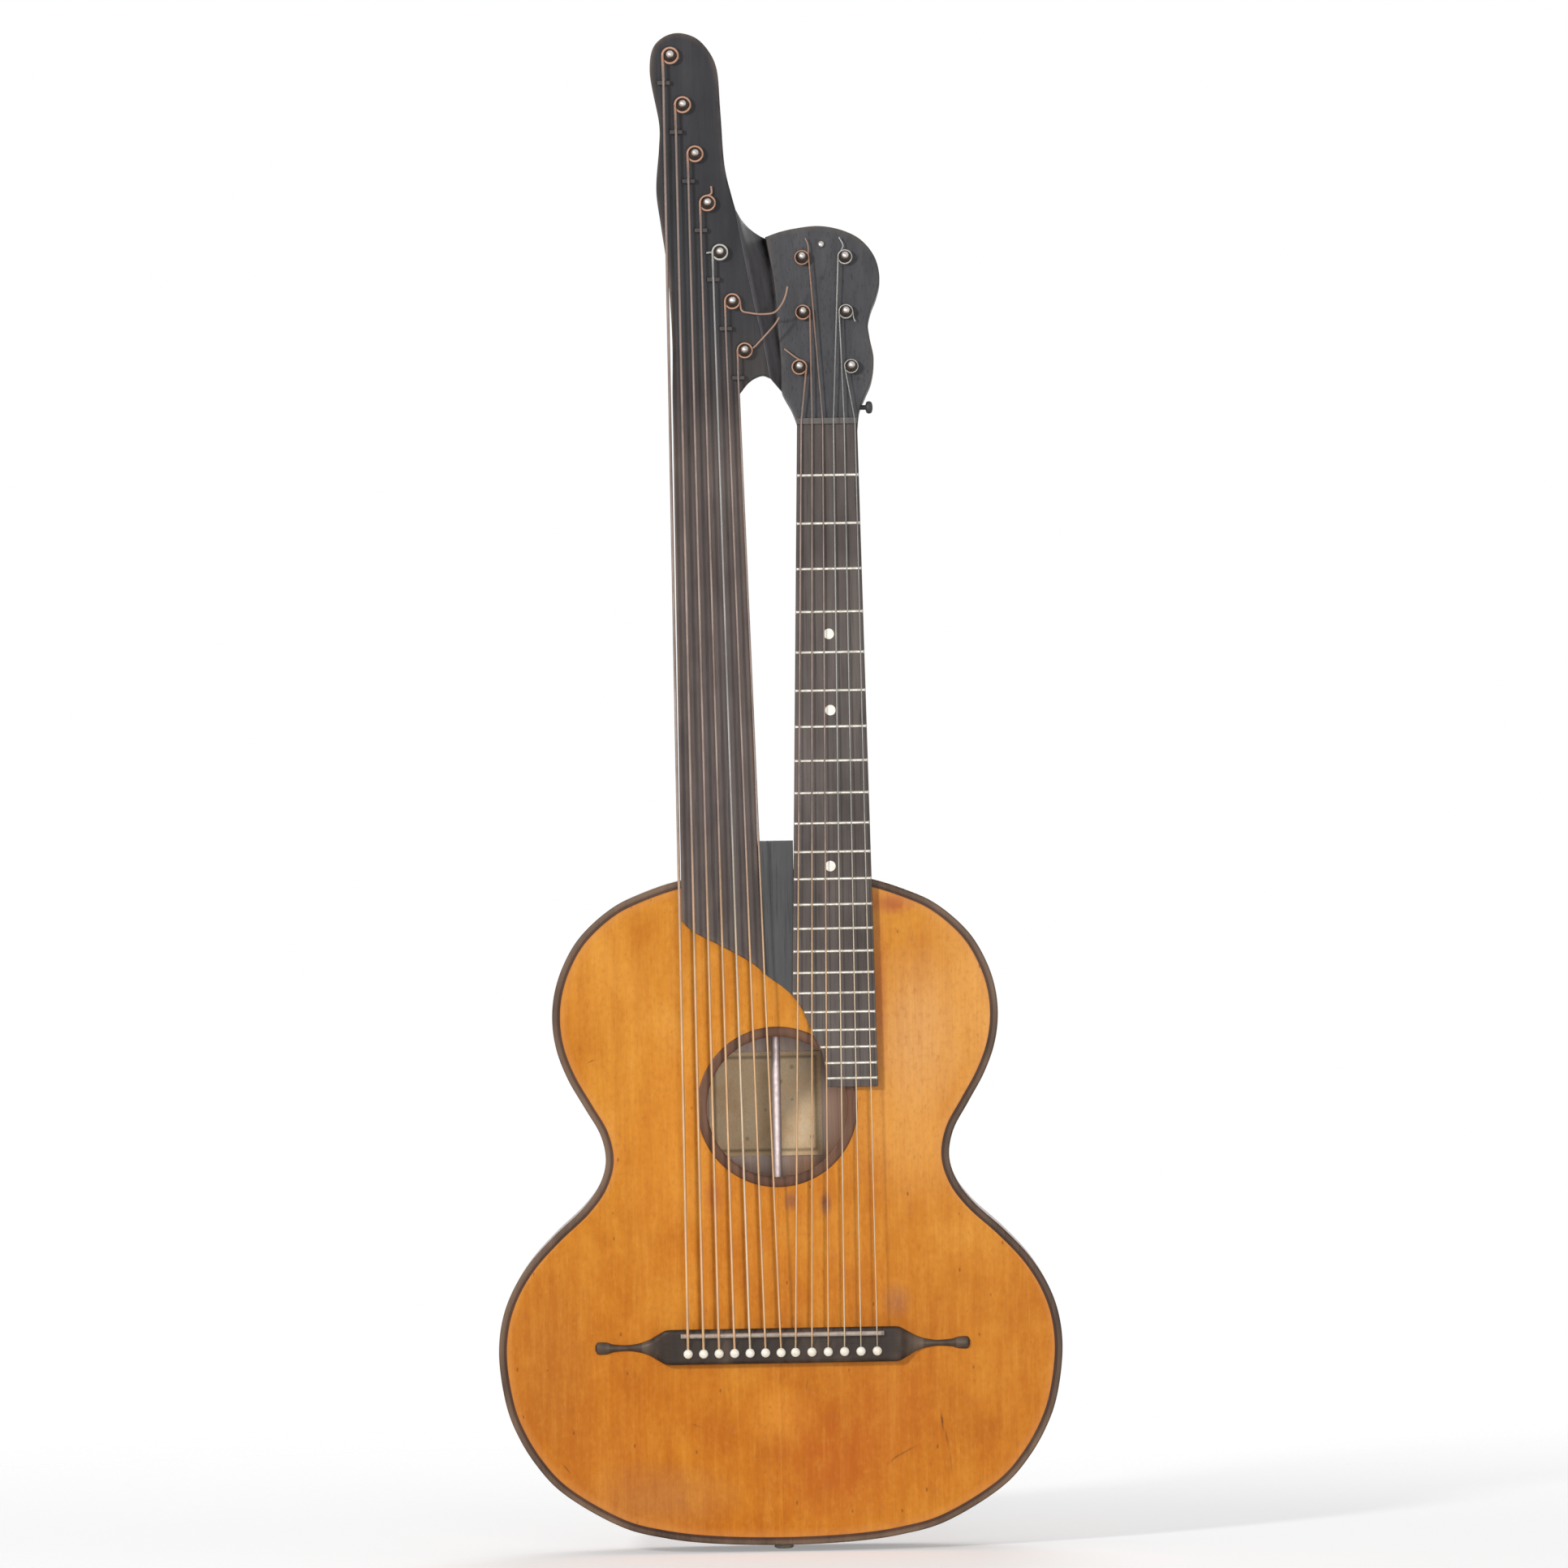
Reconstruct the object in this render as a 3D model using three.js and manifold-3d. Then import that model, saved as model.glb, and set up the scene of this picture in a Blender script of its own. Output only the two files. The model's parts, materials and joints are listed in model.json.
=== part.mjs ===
// A harp guitar with a six-string fretted neck and a fretless arm that carries seven bass strings.
// Millimetres. X runs to the treble side, the soundboard faces -Y and +Z is up, towards the heads.
// The origin is at the middle of the end pin's flat end face, at half the depth of the ribs.

import * as THREE from 'three';
import { mergeVertices } from 'three/addons/utils/BufferGeometryUtils.js';
import Module from 'manifold-3d';

const wasm = await Module();
wasm.setup();

// Body
const BODY_LENGTH = 476;
const LOWER_BOUT = 397;
const WAIST = 242;
const UPPER_BOUT = 314;
const RIB_DEPTH = 84;
const RIB_THICKNESS = 2.5;
const LINING_WIDTH = 9;
const LINING_HEIGHT = 8;
const LINING_SLOPE = 6;
const PLATE_THICKNESS = 3;
const BACK_ARCH = 6;
const BINDING_WIDTH = 5.5;
const BRACE_WIDTH = 6;
const BRACE_HEIGHT = 9;
const BRACE_END_GAP = 14;
const SEAT_GAP = 0.3;
const GLUE_GAP = 0.6;

// Soundhole and what lies inside
const SOUNDHOLE_X = 0.5;
const SOUNDHOLE_RISE = 308.6;
const RING_DIAMETER = 113;
const RING_WIDTH = 7;
const RING_PROUD = 1;
const BLOCK_WIDTH = 110;
const BLOCK_REACH = 38;
const ROD_DIAMETER = 6.5;
const ROD_DEPTH = 38;
const LABEL_WIDTH = 80;
const LABEL_HEIGHT = 74;
const LABEL_THICKNESS = 0.6;
const LABEL_X = -8;

// Strings' lengths and heights
const SCALE_LENGTH = 640;
const SADDLE_RISE = 148.6;
const SADDLE_TOP = 13;
const SADDLE_THICKNESS = 3.2;
const SADDLE_OVERHANG = 5;
const SADDLE_SLOT_DEPTH = 3;

// Bridge and pins
const BRIDGE_SPAN = 264;
const BRIDGE_WIDTH = 24.6;
const BRIDGE_TOP = 8;
const BRIDGE_DROP = 8;
const BRIDGE_BEVEL = 1.5;
const PIN_DROP = 12.6;
const PIN_HEAD_DIAMETER = 6.5;
const PIN_HEAD_HEIGHT = 3.4;
const PIN_STEM_DIAMETER = 4.4;
const PIN_STEM_LENGTH = 6.5;
const LAST_BASS_PIN_X = 0.2;
const BASS_PIN_SPACING = 10.9;
const FIRST_MAIN_PIN_X = 10.4;
const MAIN_PIN_SPACING = 11.5;

// Neck and fingerboard
const BOARD_UNDERSIDE = 2.5;
const BOARD_THICKNESS = 5;
const BOARD_LENGTH = 466.5;
const BOARD_NUT_WIDTH = 42.4;
const BOARD_END_WIDTH = 61;
const BOARD_NUT_X = 43.9;
const BOARD_END_X = 41.3;
const FRET_WIDTH = 2;
const FRET_HEIGHT = 1;
const FRET_END_ROOM = 4;
const NECK_INSET = 0.7;
const NECK_DEPTH = 19;
const HEEL_DEPTH = 82;
const HEEL_HEIGHT = 62;
const NUT_THICKNESS = 4.5;
const NUT_TOP = 8.8;
const NUT_STRING_X = 25.8;
const NUT_STRING_SPACING = 7.54;

// Main head
const HEAD_TILT = THREE.MathUtils.degToRad(12);
const HEAD_FACE = 5;
const HEAD_LENGTH = 145.5;
const HEAD_HALF_WIDTH = 39.4;
const HEAD_THICKNESS = 15;
const HEAD_AXIS_X = 43.4;
const HEAD_ROW_START = 40.5;
const HEAD_ROW_STEP = 39.8;
const HEAD_ROW_SPREAD = 30.4;
const HEAD_FIRST_SPREAD = 36.6;
const HEAD_PIN_RISE = 130.5;
const HEAD_PIN_DIAMETER = 5;
const HEAD_PIN_PROUD = 3;
const STRAP_KNOB_DIAMETER = 9;
const STRAP_KNOB_LENGTH = 5;
const STRAP_STEM_DIAMETER = 3.4;
const STRAP_STEM_OUT = 3.5;
const STRAP_STEM_IN = 7;
const STRAP_KNOB_RISE = 13.5;

// Bass arm
const ARM_LEFT_X = -64.5;
const ARM_FOOT_WIDTH = 54.7;
const ARM_HEAD_WIDTH = 47;
const ARM_FACE = 5.5;
const ARM_THICKNESS = 16;
const ARM_FACING = 6;
const ARM_FOOT_DEPTH = 56;
const ARM_FOOT_HEIGHT = 46;
const BASS_HEAD_START = 23.4;
const BASS_HEAD_LENGTH = 254;
const BASS_POST_X = -13.1;
const BASS_POST_RISE = 52;
const BASS_POST_STEP_X = -8.15;
const BASS_POST_STEP_Z = 34.72;
const BASS_POST_LEAN = THREE.MathUtils.degToRad(8);
const BASS_NUT_BELOW = 18.4;
const BASS_NUT_LEFT = 4.9;
const BASS_NUT_WIDTH = 9;
const BASS_NUT_THICKNESS = 3;
const BASS_NUT_HEIGHT = 5;
const BASS_COUNT = 7;
const MAIN_COUNT = 6;

// Black shoulder over the body
const SHOULDER_DROP = 35.2;
const SHOULDER_WIDTH = 99.7;
const SHOULDER_HEIGHT = 118;
const SHOULDER_RISE = 20;
const SHOULDER_DEPTH = 50;
const PLATE_EDGE_LEAN = 5.8;
const PLATE_UNDER_BOARD = 6;

// Tuners and windings
const POST_DIAMETER = 7;
const POST_BORE_GAP = 0.35;
const POST_BARREL = 7.6;
const POST_TIP_DIAMETER = 5.4;
const POST_TIP_LENGTH = 4.6;
const KNOB_DIAMETER = 18;
const KNOB_THICKNESS = 7;
const KNOB_STANDOFF = 3;
const KNOB_FLATNESS_share = 0.5;
const WIND_START = 5.8;
const WIND_GAP = 0.8;
const LEAST_SELF_GAP = 0.4;

// End pin
const END_PIN_OUT = 5;
const END_PIN_DIAMETER = 14;
const END_PIN_STEM_DIAMETER = 8;
const END_PIN_STEM_LENGTH = 16;

// String diameters, from the deepest bass to the highest main string
const BASS_DIAMETERS = [2, 1.9, 1.8, 1.7, 1.6, 1.5, 1.4];
const MAIN_DIAMETERS = [1.3, 1.15, 1, 1, 0.85, 0.75];

// How finely the round shapes are divided
const BODY_STEPS = 60;
const CIRCLE_STEPS = 32;
const POST_SIDES = 10;
const PIN_SIDES = 8;
const STRING_SIDES = 6;
const LOOP_STEPS = 12;
const MERGED_WITHIN = 1e-4;
const OVERRUN = 40;

// Places worked out from the sizes above
const BODY_FOOT = END_PIN_OUT;
const BODY_TOP = BODY_FOOT + BODY_LENGTH;
const SADDLE_Z = BODY_FOOT + SADDLE_RISE;
const NUT_Z = SADDLE_Z + SCALE_LENGTH;
const PIN_Z = SADDLE_Z - PIN_DROP;
const HALF_DEPTH = RIB_DEPTH / 2;
const BOARD_TOP = BOARD_UNDERSIDE + BOARD_THICKNESS;
const NECK_FRONT = BOARD_UNDERSIDE - SEAT_GAP;
const ARM_BACK = ARM_FACE - ARM_THICKNESS;
const POST_RADIUS = POST_DIAMETER / 2;
const BORE_RADIUS = POST_RADIUS + POST_BORE_GAP;
const ROD_Y = -HALF_DEPTH + ROD_DEPTH;

// Half of the body's outline, as shares of a bout's half width and of the body's length
const lower_outline_shares = [
  [0.267, 0.0042], [0.418, 0.0126], [0.569, 0.0294], [0.788, 0.084], [0.878, 0.126], [0.9375, 0.168],
  [0.975, 0.21], [1, 0.284], [0.988, 0.336], [0.953, 0.378], [0.891, 0.42], [0.7985, 0.462], [0.69, 0.504],
];
const waist_outline_shares = [[1.041, 0.536], [1, 0.571], [1.025, 0.609]];
const upper_outline_shares = [
  [0.8605, 0.651], [0.9325, 0.693], [0.981, 0.735], [1, 0.777], [0.99, 0.819], [0.949, 0.861],
  [0.873, 0.903], [0.731, 0.945], [0.601, 0.966], [0.395, 0.987],
];

// Lower edge of the black shoulder, from the arm's left edge to the fingerboard's end
const shoulder_shares = [
  [0, 0], [0.063, 0.056], [0.26, 0.147], [0.491, 0.259], [0.608, 0.345], [0.7, 0.401], [0.78, 0.466],
  [0.837, 0.536], [0.882, 0.625], [0.927, 0.715], [0.973, 0.796], [0.994, 0.885], [1, 1],
];

// Main head, as shares of its half width from its axis and of its length from the nut
const head_left_shares = [
  [-0.515, -0.02], [-0.518, 0.007], [-0.606, 0.08], [-0.731, 0.145], [-0.78, 0.175], [-0.79, 0.25],
  [-0.794, 0.335], [-0.84, 0.493], [-0.898, 0.718], [-1.035, 0.942],
];
const head_round_shares = [
  [-1.035, 0.942], [-0.782, 0.966], [-0.492, 0.983], [-0.056, 0.993], [0.378, 0.967], [0.685, 0.919],
  [0.921, 0.832], [1, 0.725], [0.935, 0.641], [0.834, 0.57], [0.777, 0.5], [0.802, 0.43], [0.868, 0.324],
  [0.815, 0.218], [0.707, 0.148], [0.599, 0.077], [0.553, -0.02],
];

// Bass head, as shares of the arm's head width from its left edge and of the head's length
const bass_left_shares = [
  [0, 0], [0.01, 0.15], [-0.046, 0.346], [-0.13, 0.465], [-0.19, 0.563], [-0.138, 0.681], [-0.126, 0.74],
  [-0.258, 0.898], [-0.196, 0.961], [-0.036, 0.989], [0.152, 0.999], [0.357, 0.992], [0.507, 0.975],
  [0.665, 0.937], [0.745, 0.898], [0.791, 0.78], [0.845, 0.622], [0.94, 0.543], [0.99, 0.508],
];
const bass_right_shares = [
  [1.262, 0.232], [1.372, 0.142], [1.47, 0.038], [1.36, 0.0455], [1.236, 0.0385], [1.136, 0.0255],
  [1.005, -0.004],
];

// Coved web between the heads, as the same shares: its ridge on the bass head and its foot in the groove
const ridge_shares = [[1.47, 0.038], [1.372, 0.142], [1.262, 0.232], [1.117, 0.37], [0.99, 0.508]];
const groove_shares = [[1.626, 0.004], [1.628, 0.0965], [1.586, 0.185], [1.534, 0.311], [1.423, 0.433]];
const cove_shares = [[0, 0], [0.3, 0.55], [0.65, 0.88], [1, 1]];
const GROOVE_DEPTH = 3;
const WEB_BURIED_share = 0.09;

// Bridge, as shares of half its span, half its width and its height
const bridge_shares = [
  [-1, 0.3, 0.34], [-0.975, 0.36, 0.42], [-0.94, 0.34, 0.42], [-0.9, 0.22, 0.36], [-0.83, 0.16, 0.32],
  [-0.76, 0.2, 0.34], [-0.7, 0.36, 0.42], [-0.655, 0.64, 0.62], [-0.605, 1, 1],
];

// The pieces' colours and finish
const spruce = new THREE.MeshStandardMaterial({ color: 0xd0883a, roughness: 0.45, metalness: 0 });
const backWood = new THREE.MeshStandardMaterial({ color: 0x7a4a2a, roughness: 0.4, metalness: 0 });
const innerWood = new THREE.MeshStandardMaterial({ color: 0xb88a5a, roughness: 0.7, metalness: 0 });
const darkBinding = new THREE.MeshStandardMaterial({ color: 0x5a3d2c, roughness: 0.45, metalness: 0 });
const blackWood = new THREE.MeshStandardMaterial({ color: 0x3c3838, roughness: 0.5, metalness: 0 });
const greyWood = new THREE.MeshStandardMaterial({ color: 0x4a4b4d, roughness: 0.5, metalness: 0 });
const ebony = new THREE.MeshStandardMaterial({ color: 0x2c2422, roughness: 0.5, metalness: 0 });
const bone = new THREE.MeshStandardMaterial({ color: 0xe8e0d0, roughness: 0.35, metalness: 0 });
const greyBone = new THREE.MeshStandardMaterial({ color: 0xa59b8f, roughness: 0.45, metalness: 0 });
const paper = new THREE.MeshStandardMaterial({ color: 0xbda582, roughness: 0.9, metalness: 0 });
const steel = new THREE.MeshStandardMaterial({ color: 0xc8c4c0, roughness: 0.25, metalness: 1 });
const copperWire = new THREE.MeshStandardMaterial({ color: 0xb08468, roughness: 0.35, metalness: 1 });
const silverWire = new THREE.MeshStandardMaterial({ color: 0xb8b8b6, roughness: 0.3, metalness: 1 });

const group = new THREE.Group();

function addPiece(name, shape, material) {
  const geometry = shape.isBufferGeometry ? shape : geometryOf(shape);
  geometry.computeVertexNormals();
  const mesh = new THREE.Mesh(geometry, material);
  mesh.name = name;
  group.add(mesh);
}

// Heights are counted from the soundboard's face, towards the strings
function atHeight(height) {
  return -HALF_DEPTH - height;
}

function solidOf(geometry) {
  const bare = geometry.clone();
  bare.deleteAttribute('normal');
  bare.deleteAttribute('uv');
  const merged = mergeVertices(bare, MERGED_WITHIN);
  return new wasm.Manifold(new wasm.Mesh({
    numProp: 3,
    vertProperties: new Float32Array(merged.attributes.position.array),
    triVerts: new Uint32Array(merged.index.array),
  }));
}

function geometryOf(solid) {
  const mesh = solid.getMesh();
  const geometry = new THREE.BufferGeometry();
  geometry.setAttribute('position', new THREE.BufferAttribute(mesh.vertProperties, 3));
  geometry.setIndex(new THREE.BufferAttribute(mesh.triVerts, 1));
  return geometry;
}

function joined(solids) {
  return solids.reduce((sum, solid) => sum.add(solid));
}

function cut(solid, cutters) {
  return cutters.reduce((rest, cutter) => rest.subtract(cutter), solid);
}

// A plate whose outline lies in X and Z, between two heights
function slab(outline, low, high, hole = null) {
  const shape = new THREE.Shape(outline);
  if (hole) shape.holes.push(new THREE.Path(hole));
  const geometry = new THREE.ExtrudeGeometry(shape, { depth: high - low, bevelEnabled: false });
  geometry.rotateX(Math.PI / 2);
  geometry.translate(0, atHeight(low), 0);
  return solidOf(geometry);
}

function box(x0, x1, low, high, z0, z1) {
  const geometry = new THREE.BoxGeometry(x1 - x0, high - low, z1 - z0);
  geometry.translate((x0 + x1) / 2, atHeight((low + high) / 2), (z0 + z1) / 2);
  return solidOf(geometry);
}

function cylinder(radius, length, sides) {
  return new THREE.CylinderGeometry(radius, radius, length, sides);
}

function areaOf(contour) {
  return THREE.ShapeUtils.area(contour);
}

// A closed solid through rings of points that all have the contour's order
function loft(rings, contour) {
  const count = contour.length;
  const positions = rings.flatMap((ring) => ring.flatMap((point) => point.toArray()));
  const index = [];
  for (let step = 0; step < rings.length - 1; step++) {
    for (let corner = 0; corner < count; corner++) {
      const a = step * count + corner;
      const b = step * count + (corner + 1) % count;
      index.push(a, b, b + count, a, b + count, a + count);
    }
  }
  const last = (rings.length - 1) * count;
  for (const [a, b, c] of THREE.ShapeUtils.triangulateShape(contour, [])) {
    const same = areaOf([contour[a], contour[b], contour[c]]) * areaOf(contour) > 0;
    const [p, q] = same ? [b, c] : [c, b];
    index.push(a, q, p, last + a, last + p, last + q);
  }
  const geometry = new THREE.BufferGeometry();
  geometry.setAttribute('position', new THREE.Float32BufferAttribute(positions, 3));
  geometry.setIndex(index);
  const solid = solidOf(geometry);
  if (solid.volume() > 0) return solid;
  geometry.setIndex(index.reverse());
  return solidOf(geometry);
}

// A turned solid round the local -Y axis, which points away from a head's face
function turned(profile, sides) {
  const points = profile.map(([radius, height]) => new THREE.Vector2(radius, height));
  const geometry = new THREE.LatheGeometry(points, sides);
  geometry.rotateX(Math.PI);
  return geometry;
}

function smooth(points, steps) {
  return new THREE.SplineCurve(points).getPoints(steps);
}

function placed(shares, x0, width, z0, height) {
  return shares.map(([x, z]) => new THREE.Vector2(x0 + x * width, z0 + z * height));
}

// The body's outline, and the same outline moved inwards
function bodyOutline() {
  const half = [
    ...placed(lower_outline_shares, 0, LOWER_BOUT / 2, BODY_FOOT, BODY_LENGTH),
    ...placed(waist_outline_shares, 0, WAIST / 2, BODY_FOOT, BODY_LENGTH),
    ...placed(upper_outline_shares, 0, UPPER_BOUT / 2, BODY_FOOT, BODY_LENGTH),
  ];
  const mirrored = half.map((point) => new THREE.Vector2(-point.x, point.y)).reverse();
  const foot = new THREE.Vector2(0, BODY_FOOT);
  const top = new THREE.Vector2(0, BODY_TOP);
  const ring = [foot, ...half, top, ...mirrored].map((point) => new THREE.Vector3(point.x, point.y, 0));
  const curve = new THREE.CatmullRomCurve3(ring, true, 'centripetal');
  curve.arcLengthDivisions = BODY_STEPS * 20;
  const points = curve.getSpacedPoints(BODY_STEPS).slice(0, BODY_STEPS);
  return points.map((point) => new THREE.Vector2(point.x, point.y));
}

function insetBy(outline, distance) {
  const count = outline.length;
  return outline.map((point, index) => {
    const along = outline[(index + 1) % count].clone().sub(outline[(index + count - 1) % count]).normalize();
    return new THREE.Vector2(point.x - along.y * distance, point.y + along.x * distance);
  });
}

const outline = bodyOutline();
const bodyEnvelope = slab(insetBy(outline, -SEAT_GAP), -RIB_DEPTH - OVERRUN, SEAT_GAP);
const insideLinings = insetBy(outline, LINING_WIDTH + SEAT_GAP);

function circle(x, z, radius) {
  const path = new THREE.Path().absarc(x, z, radius, 0, Math.PI * 2, false);
  return path.getPoints(CIRCLE_STEPS / 2).slice(0, -1);
}

// Widest place of the inner outline at one height, for the braces that span the body
function innerHalfWidth(z) {
  const near = insideLinings.filter((point) => Math.abs(point.y - z) < BODY_LENGTH / BODY_STEPS * 2);
  return Math.min(...near.map((point) => Math.abs(point.x)));
}

// Soundboard, back, bindings and ribs
const soundboard_brace_shares = [0.79, 0.5, 0.41, 0.18];
const back_brace_shares = [0.84, 0.5, 0.2];

function makeSoundboard() {
  const edge = insetBy(outline, BINDING_WIDTH + SEAT_GAP);
  const hole = circle(SOUNDHOLE_X, BODY_FOOT + SOUNDHOLE_RISE, RING_DIAMETER / 2 + SEAT_GAP);
  const board = slab(edge, -PLATE_THICKNESS, 0, hole);
  const braces = soundboard_brace_shares.map((share) => {
    const z = BODY_FOOT + share * BODY_LENGTH;
    const reach = innerHalfWidth(z) - BRACE_END_GAP;
    const low = -PLATE_THICKNESS - BRACE_HEIGHT;
    return box(-reach, reach, low, -PLATE_THICKNESS / 2, z - BRACE_WIDTH / 2, z + BRACE_WIDTH / 2);
  });
  addPiece('soundboard', joined([board, ...braces]), spruce);
}

function archedRings(heightOf, scales) {
  const centre = new THREE.Vector2(0, BODY_FOOT + waist_outline_shares[1][1] * BODY_LENGTH);
  const edge = insetBy(outline, BINDING_WIDTH + SEAT_GAP);
  return scales.map((scale) => edge.map((point) => {
    const x = centre.x + (point.x - centre.x) * scale;
    const z = centre.y + (point.y - centre.y) * scale;
    return new THREE.Vector3(x, heightOf(scale), z);
  }));
}

const back_ring_shares = [0.03, 0.6, 1];

function makeBack() {
  const arch = (scale) => HALF_DEPTH + BACK_ARCH * (1 - scale * scale);
  const outside = archedRings(arch, back_ring_shares);
  const inside = archedRings((scale) => arch(scale) - PLATE_THICKNESS, back_ring_shares);
  const plate = loft([...outside, ...inside.reverse()], outline);
  const braces = back_brace_shares.map((share) => {
    const z = BODY_FOOT + share * BODY_LENGTH;
    const reach = innerHalfWidth(z) - BRACE_END_GAP;
    const half = BRACE_WIDTH / 2;
    return box(-reach, reach, -RIB_DEPTH, -RIB_DEPTH + PLATE_THICKNESS + BRACE_HEIGHT, z - half, z + half);
  });
  const back = joined([plate, ...braces]);
  addPiece('back', back, backWood);
  return back;
}

function makeBindings() {
  const inner = insetBy(outline, BINDING_WIDTH);
  addPiece('top_binding', slab(outline, -PLATE_THICKNESS, 0, inner), darkBinding);
  addPiece('back_binding', slab(outline, -RIB_DEPTH, -RIB_DEPTH + PLATE_THICKNESS, inner), darkBinding);
}

// The ribs' section: a thin wall with a lining along each edge, as [inset, height]
function ribSection() {
  const top = -PLATE_THICKNESS - SEAT_GAP;
  const foot = -RIB_DEPTH - top;
  const ledge = LINING_HEIGHT;
  const slope = LINING_HEIGHT + LINING_SLOPE;
  return [
    [0, top], [LINING_WIDTH, top], [LINING_WIDTH, top - ledge], [RIB_THICKNESS, top - slope],
    [RIB_THICKNESS, foot + slope], [LINING_WIDTH, foot + ledge], [LINING_WIDTH, foot], [0, foot],
  ];
}

function makeRib(name, side) {
  const section = ribSection();
  const half = outline.slice(0, BODY_STEPS / 2 + 1);
  const insets = section.map(([inset]) => insetBy(outline, inset).slice(0, BODY_STEPS / 2 + 1));
  const rings = half.map((_, step) => section.map(([, height], corner) => {
    const point = insets[corner][step];
    const x = Math.max(point.x, SEAT_GAP / 2) * side;
    return new THREE.Vector3(x, atHeight(height), point.y);
  }));
  const contour = section.map(([inset, height]) => new THREE.Vector2(inset, height));
  const pinHole = cylinder(END_PIN_STEM_DIAMETER / 2 + SEAT_GAP, OVERRUN, POST_SIDES);
  pinHole.rotateX(Math.PI / 2);
  pinHole.translate(0, 0, BODY_FOOT);
  addPiece(name, cut(loft(rings, contour), [solidOf(pinHole)]), backWood);
}

function makeSoundholeRing() {
  const outer = RING_DIAMETER / 2;
  const inner = outer - RING_WIDTH;
  const middle = (outer + inner) / 2;
  const low = -PLATE_THICKNESS;
  const rim = RING_PROUD / 2;
  const profile = [
    [inner, low], [outer, low], [outer, rim], [middle, RING_PROUD], [inner, rim], [inner, low],
  ];
  const geometry = turned(profile, CIRCLE_STEPS);
  geometry.translate(SOUNDHOLE_X, atHeight(0), BODY_FOOT + SOUNDHOLE_RISE);
  addPiece('soundhole_ring', geometry, darkBinding);
}

// Blocks, strut rod and label inside the body
function makeInside() {
  const front = -PLATE_THICKNESS - SEAT_GAP;
  const back = -RIB_DEPTH - front;
  const inside = slab(insideLinings, back, front);
  const half = BLOCK_WIDTH / 2;
  const headEnd = BODY_TOP - LINING_WIDTH - BLOCK_REACH;
  const tailEnd = BODY_FOOT + LINING_WIDTH + BLOCK_REACH;
  const holeLength = headEnd - tailEnd + OVERRUN;
  const rodHole = solidOf(rodGeometry(ROD_DIAMETER / 2 + SEAT_GAP, holeLength, headEnd, tailEnd));
  const pinHole = cylinder(END_PIN_STEM_DIAMETER / 2 + SEAT_GAP, END_PIN_STEM_LENGTH, POST_SIDES);
  pinHole.rotateX(Math.PI / 2);
  pinHole.translate(0, 0, BODY_FOOT + END_PIN_STEM_LENGTH / 2 + SEAT_GAP);
  const neckBlock = box(-half, half, back, front, headEnd, BODY_TOP).intersect(inside);
  const tailBlock = box(-half, half, back, front, BODY_FOOT, tailEnd).intersect(inside);
  addPiece('neck_block', cut(neckBlock, [rodHole]), innerWood);
  addPiece('tail_block', cut(tailBlock, [rodHole, solidOf(pinHole)]), innerWood);
  const rodLength = holeLength - SEAT_GAP * 2;
  addPiece('strut_rod', rodGeometry(ROD_DIAMETER / 2, rodLength, headEnd, tailEnd), steel);
}

// The label lies on the highest part of the back that it covers
function makeLabel(back) {
  const z = BODY_FOOT + SOUNDHOLE_RISE;
  const wide = LABEL_WIDTH / 2;
  const high = LABEL_HEIGHT / 2;
  const cover = box(LABEL_X - wide, LABEL_X + wide, -RIB_DEPTH - OVERRUN, -HALF_DEPTH, z - high, z + high);
  const [, seat] = back.intersect(cover).boundingBox().min;
  const label = new THREE.BoxGeometry(LABEL_WIDTH, LABEL_THICKNESS, LABEL_HEIGHT);
  label.translate(LABEL_X, seat - SEAT_GAP - LABEL_THICKNESS / 2, z);
  addPiece('label', label, paper);
}

function rodGeometry(radius, length, headEnd, tailEnd) {
  const rod = cylinder(radius, length, POST_SIDES);
  rod.rotateX(Math.PI / 2);
  rod.translate(0, ROD_Y, (headEnd + tailEnd) / 2);
  return rod;
}

function makeEndPin() {
  const rim = END_PIN_DIAMETER / 2;
  const stem = END_PIN_STEM_DIAMETER / 2;
  const seat = END_PIN_OUT - SEAT_GAP;
  const end = seat + END_PIN_STEM_LENGTH - SEAT_GAP;
  const profile = [
    [0, 0], [rim * 0.7, 0], [rim, END_PIN_OUT * 0.35], [rim * 0.8, END_PIN_OUT * 0.7], [rim * 0.75, seat],
    [stem, seat], [stem, end], [0, end],
  ];
  const geometry = new THREE.LatheGeometry(profile.map(([x, y]) => new THREE.Vector2(x, y)), PIN_SIDES * 2);
  geometry.rotateX(Math.PI / 2);
  addPiece('end_pin', geometry, bone);
}

// Bridge, saddle and pins
const bassPinX = (index) => LAST_BASS_PIN_X - (BASS_COUNT - 1 - index) * BASS_PIN_SPACING;
const mainPinX = (index) => FIRST_MAIN_PIN_X + index * MAIN_PIN_SPACING;
const pinXs = [
  ...BASS_DIAMETERS.map((_, index) => bassPinX(index)),
  ...MAIN_DIAMETERS.map((_, index) => mainPinX(index)),
];
const pinRowMiddle = (pinXs[0] + pinXs[pinXs.length - 1]) / 2;

function bridgeRing(x, halfWidth, height) {
  const bevel = Math.min(BRIDGE_BEVEL, halfWidth / 3);
  const middle = SADDLE_Z - BRIDGE_DROP;
  const corners = [[-halfWidth, SEAT_GAP], [-halfWidth, height - bevel], [-halfWidth + bevel, height],
    [halfWidth - bevel, height], [halfWidth, height - bevel], [halfWidth, SEAT_GAP]];
  return corners.map(([across, up]) => new THREE.Vector3(x, atHeight(up), middle + across));
}

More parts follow.
